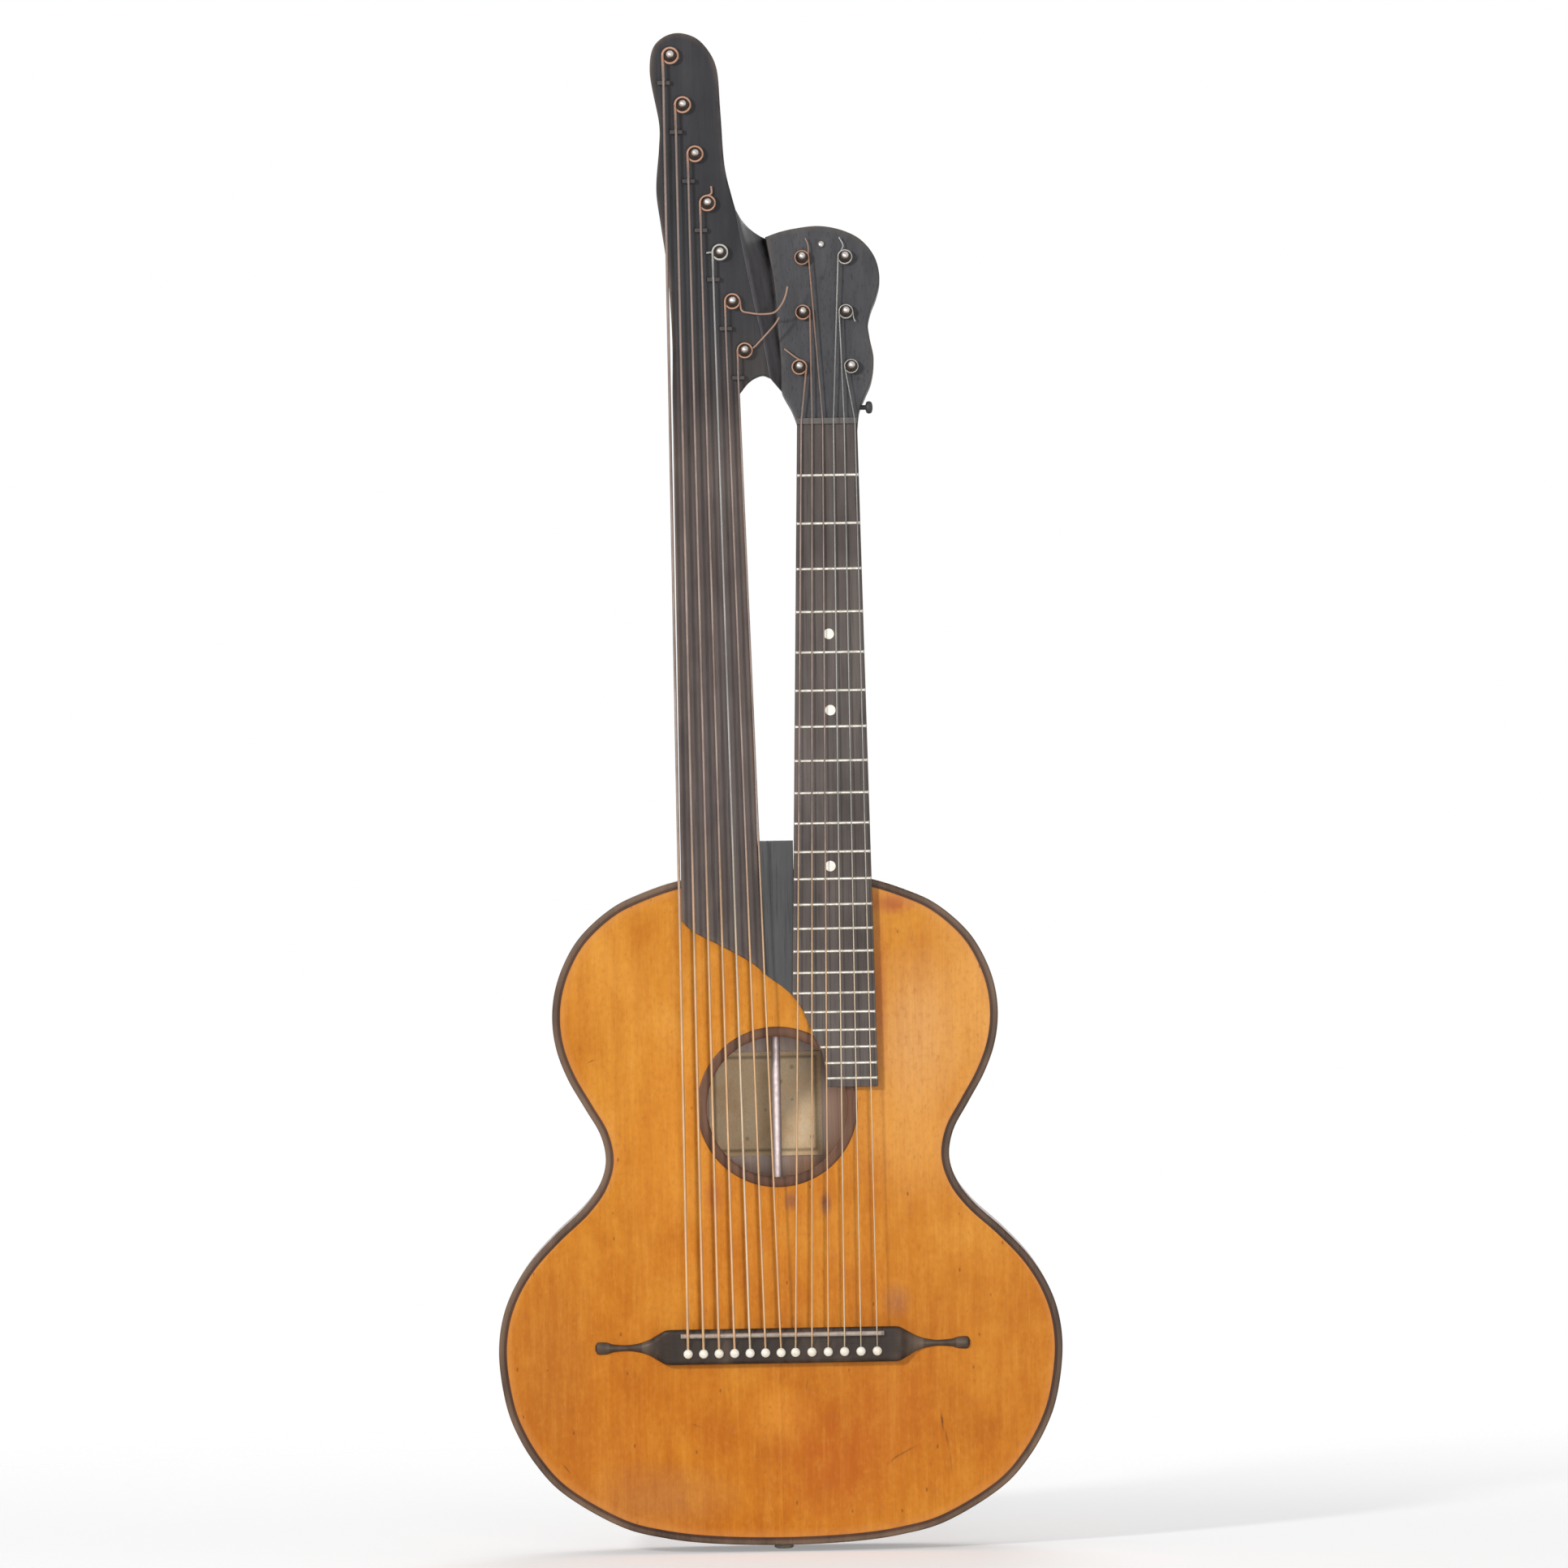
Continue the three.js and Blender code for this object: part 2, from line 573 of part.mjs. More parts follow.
function makeBridge() {
  const mirrored = bridge_shares.map(([x, width, height]) => [-x, width, height]).reverse();
  const stations = [...bridge_shares, ...mirrored];
  const rings = stations.map(([x, width, height]) =>
    bridgeRing(pinRowMiddle + x * BRIDGE_SPAN / 2, width * BRIDGE_WIDTH / 2, height * BRIDGE_TOP));
  const section = bridgeRing(0, BRIDGE_WIDTH / 2, BRIDGE_TOP);
  const contour = section.map((point) => new THREE.Vector2(point.z, point.y));
  const holes = pinXs.map((x) => {
    const hole = cylinder(PIN_STEM_DIAMETER / 2 + SEAT_GAP, PIN_STEM_LENGTH * 2 + SEAT_GAP, PIN_SIDES);
    hole.translate(x, atHeight(BRIDGE_TOP), PIN_Z);
    return solidOf(hole);
  });
  const [left, right] = saddleEnds();
  const half = SADDLE_THICKNESS / 2 + SEAT_GAP;
  const floor = BRIDGE_TOP - SADDLE_SLOT_DEPTH - SEAT_GAP;
  const above = BRIDGE_TOP + OVERRUN;
  const slot = box(left - SEAT_GAP, right + SEAT_GAP, floor, above, SADDLE_Z - half, SADDLE_Z + half);
  addPiece('bridge', cut(loft(rings, contour), [...holes, slot]), ebony);
  const foot = BRIDGE_TOP - SADDLE_SLOT_DEPTH;
  const thick = SADDLE_THICKNESS / 2;
  addPiece('saddle', box(left, right, foot, SADDLE_TOP, SADDLE_Z - thick, SADDLE_Z + thick), greyBone);
}

function saddleEnds() {
  return [pinXs[0] - SADDLE_OVERHANG, pinXs[pinXs.length - 1] + SADDLE_OVERHANG];
}

function makePins() {
  const head = PIN_HEAD_DIAMETER / 2;
  const stem = PIN_STEM_DIAMETER / 2;
  const profile = [[0, -PIN_STEM_LENGTH], [stem * 0.85, -PIN_STEM_LENGTH], [stem, SEAT_GAP], [head, SEAT_GAP],
    [head, PIN_HEAD_HEIGHT * 0.45], [head * 0.66, PIN_HEAD_HEIGHT * 0.88], [0, PIN_HEAD_HEIGHT]];
  pinXs.forEach((x, index) => {
    const geometry = turned(profile, PIN_SIDES);
    geometry.translate(x, atHeight(BRIDGE_TOP), PIN_Z);
    addPiece(`bridge_pin_${index + 1}`, geometry, bone);
  });
}

// The shoulder's lower edge, as a region that is cut away from what lies above the soundboard
function belowShoulder() {
  const top = BODY_TOP - SHOULDER_DROP;
  const points = shoulder_shares.map(([x, z]) =>
    new THREE.Vector2(ARM_LEFT_X + x * SHOULDER_WIDTH, top - z * SHOULDER_HEIGHT));
  const edge = smooth(points, shoulder_shares.length * 3);
  const low = top - SHOULDER_HEIGHT - OVERRUN;
  const last = points[points.length - 1];
  const left = ARM_LEFT_X - OVERRUN;
  const outlinePoints = [new THREE.Vector2(left, low), new THREE.Vector2(last.x, low), ...edge.reverse(),
    new THREE.Vector2(left, top)];
  return slab(outlinePoints, 0, BOARD_TOP + OVERRUN);
}

const shoulderCut = belowShoulder();

// Fingerboard, with its frets on it
function boardEdges(z) {
  const share = (NUT_Z - z) / BOARD_LENGTH;
  const middle = BOARD_NUT_X + (BOARD_END_X - BOARD_NUT_X) * share;
  const width = BOARD_NUT_WIDTH + (BOARD_END_WIDTH - BOARD_NUT_WIDTH) * share;
  return [middle - width / 2, middle + width / 2];
}

function boardBand(z0, z1, low, high, inset = 0) {
  const [left0, right0] = boardEdges(z0);
  const [left1, right1] = boardEdges(z1);
  return slab([
    new THREE.Vector2(left0 + inset, z0), new THREE.Vector2(right0 - inset, z0),
    new THREE.Vector2(right1 - inset, z1), new THREE.Vector2(left1 + inset, z1),
  ], low, high);
}

function makeFingerboard() {
  const boardEnd = NUT_Z - BOARD_LENGTH;
  const board = boardBand(boardEnd, NUT_Z - SEAT_GAP, BOARD_UNDERSIDE, BOARD_TOP);
  const fretZ = (fret) => NUT_Z - SCALE_LENGTH * (1 - 2 ** (-fret / 12));
  const half = FRET_WIDTH / 2;
  const frets = [];
  for (let z = fretZ(1); z > boardEnd + FRET_END_ROOM; z = fretZ(frets.length + 1)) {
    frets.push(boardBand(z - half, z + half, BOARD_TOP - FRET_HEIGHT, BOARD_TOP + FRET_HEIGHT));
  }
  addPiece('fingerboard', cut(joined([board, ...frets]), [shoulderCut]), ebony);
  const [left, right] = boardEdges(NUT_Z);
  addPiece('nut', box(left, right, NECK_FRONT + SEAT_GAP, NUT_TOP, NUT_Z, NUT_Z + NUT_THICKNESS), ebony);
}

// A flat-fronted section with a round back, as corners at one height of an arm or neck
const round_back_shares = [[1, 0], [0.97, 0.42], [0.8, 0.78], [0.45, 0.97], [-0.45, 0.97], [-0.8, 0.78],
  [-0.97, 0.42], [-1, 0]];

function roundBack(left, right, front, depth, taper, z) {
  const middle = (left + right) / 2;
  const half = (right - left) / 2;
  return round_back_shares.map(([across, deep]) =>
    new THREE.Vector3(middle + across * half * (1 - deep * taper), atHeight(front - deep * depth), z));
}

function roundContour() {
  return round_back_shares.map(([across, deep]) => new THREE.Vector2(across, deep));
}

// The head's frame: its face is the local plane y = 0, its back is at +y and z runs up the face
const headFrame = new THREE.Matrix4().makeTranslation(0, atHeight(HEAD_FACE), NUT_Z)
  .multiply(new THREE.Matrix4().makeRotationX(-HEAD_TILT));

function headFaceHeight(z) {
  return HEAD_FACE - (z - NUT_Z) * Math.tan(HEAD_TILT);
}

function headOutline() {
  const left = placed(head_left_shares, HEAD_AXIS_X, HEAD_HALF_WIDTH, 0, HEAD_LENGTH);
  const round = placed(head_round_shares, HEAD_AXIS_X, HEAD_HALF_WIDTH, 0, HEAD_LENGTH);
  return [...left.slice(0, -1), ...smooth(round, head_round_shares.length * 2)];
}

function inHeadFrame(geometry) {
  return solidOf(geometry.applyMatrix4(headFrame));
}

// The neck's heel, as shares of its height, of its depth and of its narrowing towards the back
const heel_shares = [
  [0, 1, 0.34], [0.16, 0.86, 0.3], [0.34, 0.6, 0.24], [0.56, 0.36, 0.12], [0.8, 0.26, 0.04],
];

function makeNeck() {
  const rings = heel_shares.map(([rise, deep, taper]) => {
    const z = BODY_TOP - LINING_WIDTH + rise * HEEL_HEIGHT;
    const [left, right] = boardEdges(z);
    return roundBack(left + NECK_INSET, right - NECK_INSET, NECK_FRONT, HEEL_DEPTH * deep, taper, z);
  });
  const shaftStart = BODY_TOP - LINING_WIDTH + HEEL_HEIGHT;
  const shaft = [
    [shaftStart, NECK_DEPTH * 1.1], [NUT_Z, NECK_DEPTH], [NUT_Z + NECK_DEPTH, NECK_DEPTH / 2],
  ];
  for (const [z, depth] of shaft) {
    const [left, right] = boardEdges(Math.min(z, NUT_Z));
    const drop = Math.max(0, z - NUT_Z) * Math.tan(HEAD_TILT) * 1.2;
    rings.push(roundBack(left + NECK_INSET, right - NECK_INSET, NECK_FRONT - drop, depth, 0, z));
  }
  const plate = new THREE.ExtrudeGeometry(new THREE.Shape(headOutline()), {
    depth: HEAD_THICKNESS, bevelEnabled: false,
  });
  plate.rotateX(Math.PI / 2);
  plate.translate(0, HEAD_THICKNESS, 0);
  const nutEnd = NUT_Z + NUT_THICKNESS + SEAT_GAP;
  const nutSeat = box(0, HEAD_AXIS_X * 2, NECK_FRONT, NUT_TOP + OVERRUN, NUT_Z - OVERRUN, nutEnd);
  const head = cut(inHeadFrame(plate), [nutSeat]);
  const bores = mainPosts.map((post) => solidOf(boreGeometry(HEAD_THICKNESS).applyMatrix4(post.frame)));
  const pinBore = solidOf(headPinGeometry(SEAT_GAP));
  const strapBore = solidOf(strapKnobGeometry(SEAT_GAP));
  const neck = cut(joined([loft(rings, roundContour()), head]), [bodyEnvelope, ...bores, pinBore, strapBore]);
  addPiece('neck', neck, greyWood);
  addPiece('head_pin', headPinGeometry(0), steel);
  addPiece('strap_knob', strapKnobGeometry(0), ebony);
}

function headPinGeometry(gap) {
  const radius = HEAD_PIN_DIAMETER / 2;
  const stem = radius / 2 + gap;
  const seat = gap ? 0 : SEAT_GAP;
  const deep = -HEAD_PIN_DIAMETER - gap;
  const profile = [
    [0, deep], [stem, deep], [stem, seat], [radius, seat], [radius, HEAD_PIN_PROUD * 0.5],
    [radius * 0.6, HEAD_PIN_PROUD * 0.9], [0, HEAD_PIN_PROUD],
  ];
  const geometry = turned(profile, PIN_SIDES);
  geometry.translate(HEAD_AXIS_X - HEAD_PIN_PROUD / 2, 0, HEAD_PIN_RISE);
  return geometry.applyMatrix4(headFrame);
}

// Strap knob on the treble edge of the head's foot; its axis is X
function strapKnobGeometry(gap) {
  const stem = STRAP_STEM_DIAMETER / 2 + gap;
  const knob = STRAP_KNOB_DIAMETER / 2;
  const end = STRAP_STEM_OUT + STRAP_KNOB_LENGTH;
  const deep = -STRAP_STEM_IN - gap;
  const profile = [
    [0, deep], [stem, deep], [stem, STRAP_STEM_OUT], [knob * 0.8, STRAP_STEM_OUT],
    [knob, STRAP_STEM_OUT + STRAP_KNOB_LENGTH / 2], [knob * 0.7, end], [0, end],
  ];
  const geometry = new THREE.LatheGeometry(profile.map(([x, y]) => new THREE.Vector2(x, y)), PIN_SIDES);
  geometry.rotateZ(-Math.PI / 2);
  const [, right] = boardEdges(NUT_Z);
  geometry.translate(right + STRAP_KNOB_DIAMETER * 0.3, HEAD_THICKNESS / 2, STRAP_KNOB_RISE);
  return geometry.applyMatrix4(headFrame);
}

// Bass arm with its head, the coved web and the seven bass nuts
const bassHeadZ = NUT_Z + BASS_HEAD_START;
const placeBass = (shares) => placed(shares, ARM_LEFT_X, ARM_HEAD_WIDTH, bassHeadZ, BASS_HEAD_LENGTH);

function armRightEdge(z) {
  const share = (z - BODY_TOP) / (bassHeadZ - BODY_TOP);
  return ARM_LEFT_X + ARM_FOOT_WIDTH + (ARM_HEAD_WIDTH - ARM_FOOT_WIDTH) * Math.min(share, 1);
}

// The arm's right edge leans a little more over the soundboard
function plateEdge(z) {
  const lean = Math.max(0, BODY_TOP - z) / SHOULDER_HEIGHT;
  return armRightEdge(Math.max(z, BODY_TOP)) + lean * PLATE_EDGE_LEAN;
}

function makeArm() {
  const low = BODY_TOP - SHOULDER_DROP - SHOULDER_HEIGHT;
  const roundSide = smooth(placeBass(bass_left_shares), bass_left_shares.length * 2);
  const head = [...roundSide, ...placeBass(bass_right_shares)];
  const flare = bassHeadZ - BASS_HEAD_START / 2;
  const facing = slab([
    new THREE.Vector2(ARM_LEFT_X, low), new THREE.Vector2(plateEdge(low), low),
    new THREE.Vector2(armRightEdge(BODY_TOP), BODY_TOP), new THREE.Vector2(armRightEdge(flare), flare),
    ...head.slice().reverse(),
  ], ARM_FACE - ARM_FACING, ARM_FACE);
  const plank = slab([new THREE.Vector2(armRightEdge(flare), flare), ...head.slice().reverse(),
    new THREE.Vector2(ARM_LEFT_X, flare)], ARM_BACK, ARM_FACE);
  const inset = NECK_INSET;
  const shaft_shares = [[0, ARM_FOOT_DEPTH], [0.3, ARM_FOOT_DEPTH * 0.62], [0.62, ARM_THICKNESS * 1.25]];
  const shaftRings = shaft_shares.map(([rise, depth]) => {
    const z = BODY_TOP - LINING_WIDTH * 2 + rise * ARM_FOOT_HEIGHT * 1.6;
    return roundBack(ARM_LEFT_X + inset, armRightEdge(z) - inset, ARM_FACE, depth, 0.12, z);
  });
  const shaftTop = flare + BASS_HEAD_START;
  for (const z of [BODY_TOP + ARM_FOOT_HEIGHT * 1.4, shaftTop]) {
    shaftRings.push(roundBack(ARM_LEFT_X + inset, armRightEdge(z) - inset, ARM_FACE, ARM_THICKNESS, 0.06, z));
  }
  const nuts = bassPosts.map((post) => bassNut(post));
  const bores = bassPosts.map((post) => solidOf(boreGeometry(ARM_THICKNESS).applyMatrix4(post.frame)));
  const shaft = loft(shaftRings, roundContour());
  const arm = joined([facing, plank, shaft, makeWeb(), ...nuts]);
  addPiece('bass_arm', cut(arm, [bodyEnvelope, shoulderCut, ...bores]), blackWood);
}

function makeWeb() {
  const ridge = placeBass(ridge_shares);
  const groove = placeBass(groove_shares);
  const buried = WEB_BURIED_share * ARM_HEAD_WIDTH;
  const headBack = HEAD_THICKNESS / Math.cos(HEAD_TILT);
  const rings = ridge.map((start, step) => {
    const end = groove[step];
    const face = headFaceHeight(end.y);
    const foot = face - GROOVE_DEPTH;
    const front = cove_shares.map(([across, down]) => new THREE.Vector3(
      start.x + (end.x - GLUE_GAP - start.x) * across,
      atHeight(ARM_FACE + (foot - ARM_FACE) * down),
      start.y + (end.y - start.y) * across,
    ));
    const back = cove_shares.map(([across]) => new THREE.Vector3(
      start.x + (end.x - GLUE_GAP - start.x) * across,
      atHeight(ARM_BACK + (face - headBack - ARM_BACK) * across),
      start.y + (end.y - start.y) * across,
    )).reverse();
    const depth = WEB_BURIED_share * ARM_THICKNESS;
    const innerBack = new THREE.Vector3(start.x - buried, atHeight(ARM_BACK + depth), start.y);
    const innerFront = new THREE.Vector3(start.x - buried, atHeight(ARM_FACE - depth), start.y);
    return [...front, ...back, innerBack, innerFront];
  });
  const contour = rings[rings.length - 1].map((point) => new THREE.Vector2(point.x, point.y));
  return loft(rings, contour);
}

function bassNut(post) {
  const wide = BASS_NUT_WIDTH / 2;
  const thick = BASS_NUT_THICKNESS / 2;
  const x = post.x - BASS_NUT_LEFT;
  const z = post.z - BASS_NUT_BELOW;
  const top = ARM_FACE + BASS_NUT_HEIGHT;
  return box(x - wide, x + wide, ARM_FACE - ARM_FACING / 2, top, z - thick, z + thick);
}

// Grey plate between the arm and the fingerboard, with its block above the body
function makeShoulderPlate() {
  const low = BODY_TOP - SHOULDER_DROP - SHOULDER_HEIGHT;
  const high = BODY_TOP + SHOULDER_RISE;
  const heelFoot = BODY_TOP - LINING_WIDTH - SEAT_GAP;
  const underBoard = boardEdges(BODY_TOP)[0] + PLATE_UNDER_BOARD;
  const neckSide = boardEdges(high)[0] + NECK_INSET - GLUE_GAP * 2;
  const leftEdge = (z) => new THREE.Vector2(plateEdge(z) + SEAT_GAP, z);
  const top = NECK_FRONT - SEAT_GAP;
  const plate = slab([
    leftEdge(BODY_TOP), leftEdge(low), new THREE.Vector2(underBoard, low),
    new THREE.Vector2(underBoard, heelFoot), new THREE.Vector2(neckSide, heelFoot),
    new THREE.Vector2(neckSide, BODY_TOP),
  ], SEAT_GAP, top);
  const block = slab([
    leftEdge(high), leftEdge(BODY_TOP), leftEdge(heelFoot), new THREE.Vector2(neckSide, heelFoot),
    new THREE.Vector2(neckSide, high),
  ], -SHOULDER_DEPTH, top);
  addPiece('shoulder_plate', cut(joined([plate, block]), [bodyEnvelope, shoulderCut]), greyWood);
}

// Tuner posts: each has a frame whose local -Y points away from the head's face
function bassPostAt(index) {
  const fromFoot = BASS_COUNT - 1 - index;
  const x = BASS_POST_X + fromFoot * BASS_POST_STEP_X;
  const z = NUT_Z + BASS_POST_RISE + fromFoot * BASS_POST_STEP_Z;
  const frame = new THREE.Matrix4().makeTranslation(x, atHeight(ARM_FACE), z)
    .multiply(new THREE.Matrix4().makeRotationX(-BASS_POST_LEAN));
  return { x, z, frame, thickness: ARM_THICKNESS, leaves: -1 };
}

// Main posts, in the order of their strings: up the left column, then down the right one
function mainPostAt(index) {
  const rows = MAIN_COUNT / 2;
  const left = index < rows;
  const row = left ? index : MAIN_COUNT - 1 - index;
  const spread = row === 0 ? HEAD_FIRST_SPREAD : HEAD_ROW_SPREAD;
  const x = HEAD_AXIS_X + (left ? -spread : spread) / 2;
  const local = new THREE.Matrix4().makeTranslation(x, 0, HEAD_ROW_START + row * HEAD_ROW_STEP);
  return { x, frame: headFrame.clone().multiply(local), thickness: HEAD_THICKNESS, leaves: left ? 1 : -1 };
}

const bassPosts = BASS_DIAMETERS.map((_, index) => bassPostAt(index));
const mainPosts = MAIN_DIAMETERS.map((_, index) => mainPostAt(index));

function boreGeometry(thickness) {
  return cylinder(BORE_RADIUS, thickness * 2 + OVERRUN, POST_SIDES);
}

function makeTuner(name, post) {
  const tip = POST_TIP_DIAMETER / 2;
  const end = POST_BARREL + POST_TIP_LENGTH;
  const knobFront = -post.thickness - KNOB_STANDOFF;
  const knobBack = knobFront - KNOB_THICKNESS;
  const knob = KNOB_DIAMETER / 2;
  const profile = [
    [0, knobBack], [knob * 0.9, knobBack], [knob, (knobBack + knobFront) / 2], [knob * 0.9, knobFront],
    [POST_RADIUS, knobFront], [POST_RADIUS, POST_BARREL - SEAT_GAP * 2], [tip, POST_BARREL],
    [tip, end - tip * 0.7], [tip * 0.7, end - tip * 0.2], [0, end],
  ];
  const geometry = turned(profile, POST_SIDES);
  flattenKnob(geometry, -knobFront);
  geometry.applyMatrix4(post.frame);
  addPiece(name, geometry, steel);
}

// The knob is flattened so that two fingers can turn it
function flattenKnob(geometry, knobFront) {
  const position = geometry.attributes.position;
  for (let index = 0; index < position.count; index++) {
    const wide = Math.hypot(position.getX(index), position.getZ(index)) > POST_RADIUS + SEAT_GAP;
    if (wide && position.getY(index) > knobFront - SEAT_GAP) {
      position.setZ(index, position.getZ(index) * KNOB_FLATNESS_share);
    }
  }
}

// How each string ends: whole turns round its post, and where its loose end goes, in post diameters
const bass_turn_shares = [1.5, 1.5, 1.5, 1.19, 1.83, 1.44, 1.33];
const bass_tail_shares = [
  [], [], [],
  [[0.39, 0.99], [0.4, 1.73]],
  [[-0.71, 0], [-1.36, 0.01]],
  [[0.94, -0.93], [1.76, -1.19], [2.99, -1.33], [4.21, -1.16], [4.96, -0.34], [5.39, 0.63], [5.56, 1.44]],
  [[0.7, 0.23], [1.07, 0.46], [1.43, 0.84], [2.26, 1.71], [3.1, 2.67], [3.51, 3.31]],
];
const main_turn_shares = [1.17, 2.25, 2.03, 2.08, 2.47, 2.25];
const main_tail_shares = [
  [[-0.2, 0.93], [-1.49, 1.94]], [], [[0.64, 1.31], [0.37, 2.06]],
  [[-0.17, 1.2], [-0.57, 2.11]], [[0.77, -0.61], [0.93, -1.03]], [],
];

// The turns of a string round its post and its loose end, in the post's frame
function windingPath(diameter, turns, leaves, tail) {
  const radius = POST_RADIUS + SEAT_GAP + diameter / 2;
  const pitch = diameter + WIND_GAP;
  const steps = Math.round(turns * LOOP_STEPS);
  const start = leaves < 0 ? Math.PI : 0;
  const points = [];
  for (let step = 0; step <= steps; step++) {
    const turn = turns * step / steps;
    const angle = start + leaves * turn * Math.PI * 2;
    const height = WIND_START - pitch * turn;
    points.push(new THREE.Vector3(Math.cos(angle) * radius, -height, Math.sin(angle) * radius));
  }
  const end = points[points.length - 1];
  const along = end.clone().sub(points[points.length - 2]).normalize();
  const stub = end.clone().addScaledVector(along, diameter);
  if (tail.length === 0) return [...points, stub];
  const route = tail.map(([x, z]) => new THREE.Vector3(x * POST_DIAMETER, end.y, z * POST_DIAMETER));
  const curve = new THREE.CatmullRomCurve3([end, stub, ...route], false, 'centripetal');
  return [...points, ...curve.getPoints((tail.length + 1) * 2).slice(1)];
}

function stringPath(diameter, pinX, nut, post, turns, tail) {
  const radius = diameter / 2;
  const turnsAndTail = windingPath(diameter, turns, post.leaves, tail);
  const winding = turnsAndTail.map((point) => point.applyMatrix4(post.frame));
  const alongX = (z) => pinX + (nut.x - pinX) * (z - PIN_Z) / (nut.z - PIN_Z);
  const saddleBack = SADDLE_Z - SADDLE_THICKNESS / 2;
  const start = PIN_Z + PIN_HEAD_DIAMETER / 2 + SEAT_GAP;
  const lift = SEAT_GAP + radius;
  return [
    new THREE.Vector3(pinX, atHeight(BRIDGE_TOP + lift), start),
    new THREE.Vector3(alongX(saddleBack), atHeight(SADDLE_TOP + lift), saddleBack),
    new THREE.Vector3(nut.x, atHeight(nut.top + lift), nut.z),
    ...winding,
  ];
}

// A tube of one thickness along straight steps, closed at both ends
function sweep(points, radius) {
  const tangents = points.map((point, index) => {
    const before = points[Math.max(index - 1, 0)];
    const after = points[Math.min(index + 1, points.length - 1)];
    const into = point.clone().sub(before).normalize();
    const out = after.clone().sub(point).normalize();
    return into.add(out).normalize();
  });
  const section = Array.from({ length: STRING_SIDES }, (_, corner) => {
    const angle = corner / STRING_SIDES * Math.PI * 2;
    return new THREE.Vector2(Math.cos(angle), Math.sin(angle));
  });
  const side = new THREE.Vector3(1, 0, 0);
  const rings = points.map((point, index) => {
    const tangent = tangents[index];
    if (index > 0) {
      side.applyQuaternion(new THREE.Quaternion().setFromUnitVectors(tangents[index - 1], tangent));
    }
    side.addScaledVector(tangent, -side.dot(tangent)).normalize();
    const up = tangent.clone().cross(side);
    return section.map((corner) =>
      point.clone().addScaledVector(side, corner.x * radius).addScaledVector(up, corner.y * radius));
  });
  return loft(rings, section);
}

// The least distance between turns of one string that aren't next to each other along it
function selfGap(points, diameter) {
  let least = Infinity;
  points.forEach((point, index) => {
    for (let other = index + LOOP_STEPS / 2; other < points.length; other++) {
      least = Math.min(least, point.distanceTo(points[other]) - diameter);
    }
  });
  return least;
}

const selfGaps = [];

function makeString(name, diameter, pinX, nut, post, turns, tail, material) {
  const path = stringPath(diameter, pinX, nut, post, turns, tail);
  const [nutPoint, firstTurn] = path.slice(2, 4);
  const alongTo = (step) => nutPoint.clone().lerp(firstTurn, step / LOOP_STEPS);
  const approach = Array.from({ length: LOOP_STEPS }, (_, step) => alongTo(step));
  selfGaps.push(selfGap([...approach, ...path.slice(3)], diameter));
  addPiece(name, sweep(path, diameter / 2), material);
}

function makeBassStrings() {
  BASS_DIAMETERS.forEach((diameter, index) => {
    const post = bassPosts[index];
    const z = post.z - BASS_NUT_BELOW + BASS_NUT_THICKNESS / 2;
    const nut = { x: post.x - BASS_NUT_LEFT, z, top: ARM_FACE + BASS_NUT_HEIGHT };
    const material = index === 4 ? silverWire : copperWire;
    makeString(`bass_string_${index + 1}`, diameter, bassPinX(index), nut, post, bass_turn_shares[index],
      bass_tail_shares[index], material);
    makeTuner(`bass_tuner_${index + 1}`, post);
  });
}

function makeMainStrings() {
  MAIN_DIAMETERS.forEach((diameter, index) => {
    const post = mainPosts[index];
    const nut = { x: NUT_STRING_X + index * NUT_STRING_SPACING, z: NUT_Z + NUT_THICKNESS, top: NUT_TOP };
    const material = index < MAIN_COUNT / 2 ? copperWire : silverWire;
    makeString(`main_string_${index + 1}`, diameter, mainPinX(index), nut, post, main_turn_shares[index],
      main_tail_shares[index], material);
    makeTuner(`main_tuner_${index + 1}`, post);
  });
}

makeSoundboard();
const backSolid = makeBack();
makeRib('rib_treble_side', 1);
makeRib('rib_bass_side', -1);
makeBindings();
makeSoundholeRing();
makeInside();
makeLabel(backSolid);
makeEndPin();
makeBridge();
makePins();
makeNeck();
makeFingerboard();
makeArm();
makeShoulderPlate();
makeBassStrings();
makeMainStrings();

console.log(`gaps of the wound strings to themselves, to stay over ${LEAST_SELF_GAP} mm:`);
console.log(selfGaps.map((gap) => gap.toFixed(2)).join(' '));

export default group;
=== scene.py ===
# A harp guitar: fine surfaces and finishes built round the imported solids, in metres.
# X runs to the treble side, the soundboard faces -Y and +Z is up, towards the heads.

import json
import math
from collections import namedtuple

import bmesh
import bpy
import numpy as np
from mathutils import Matrix, Vector
from mathutils.geometry import tessellate_polygon


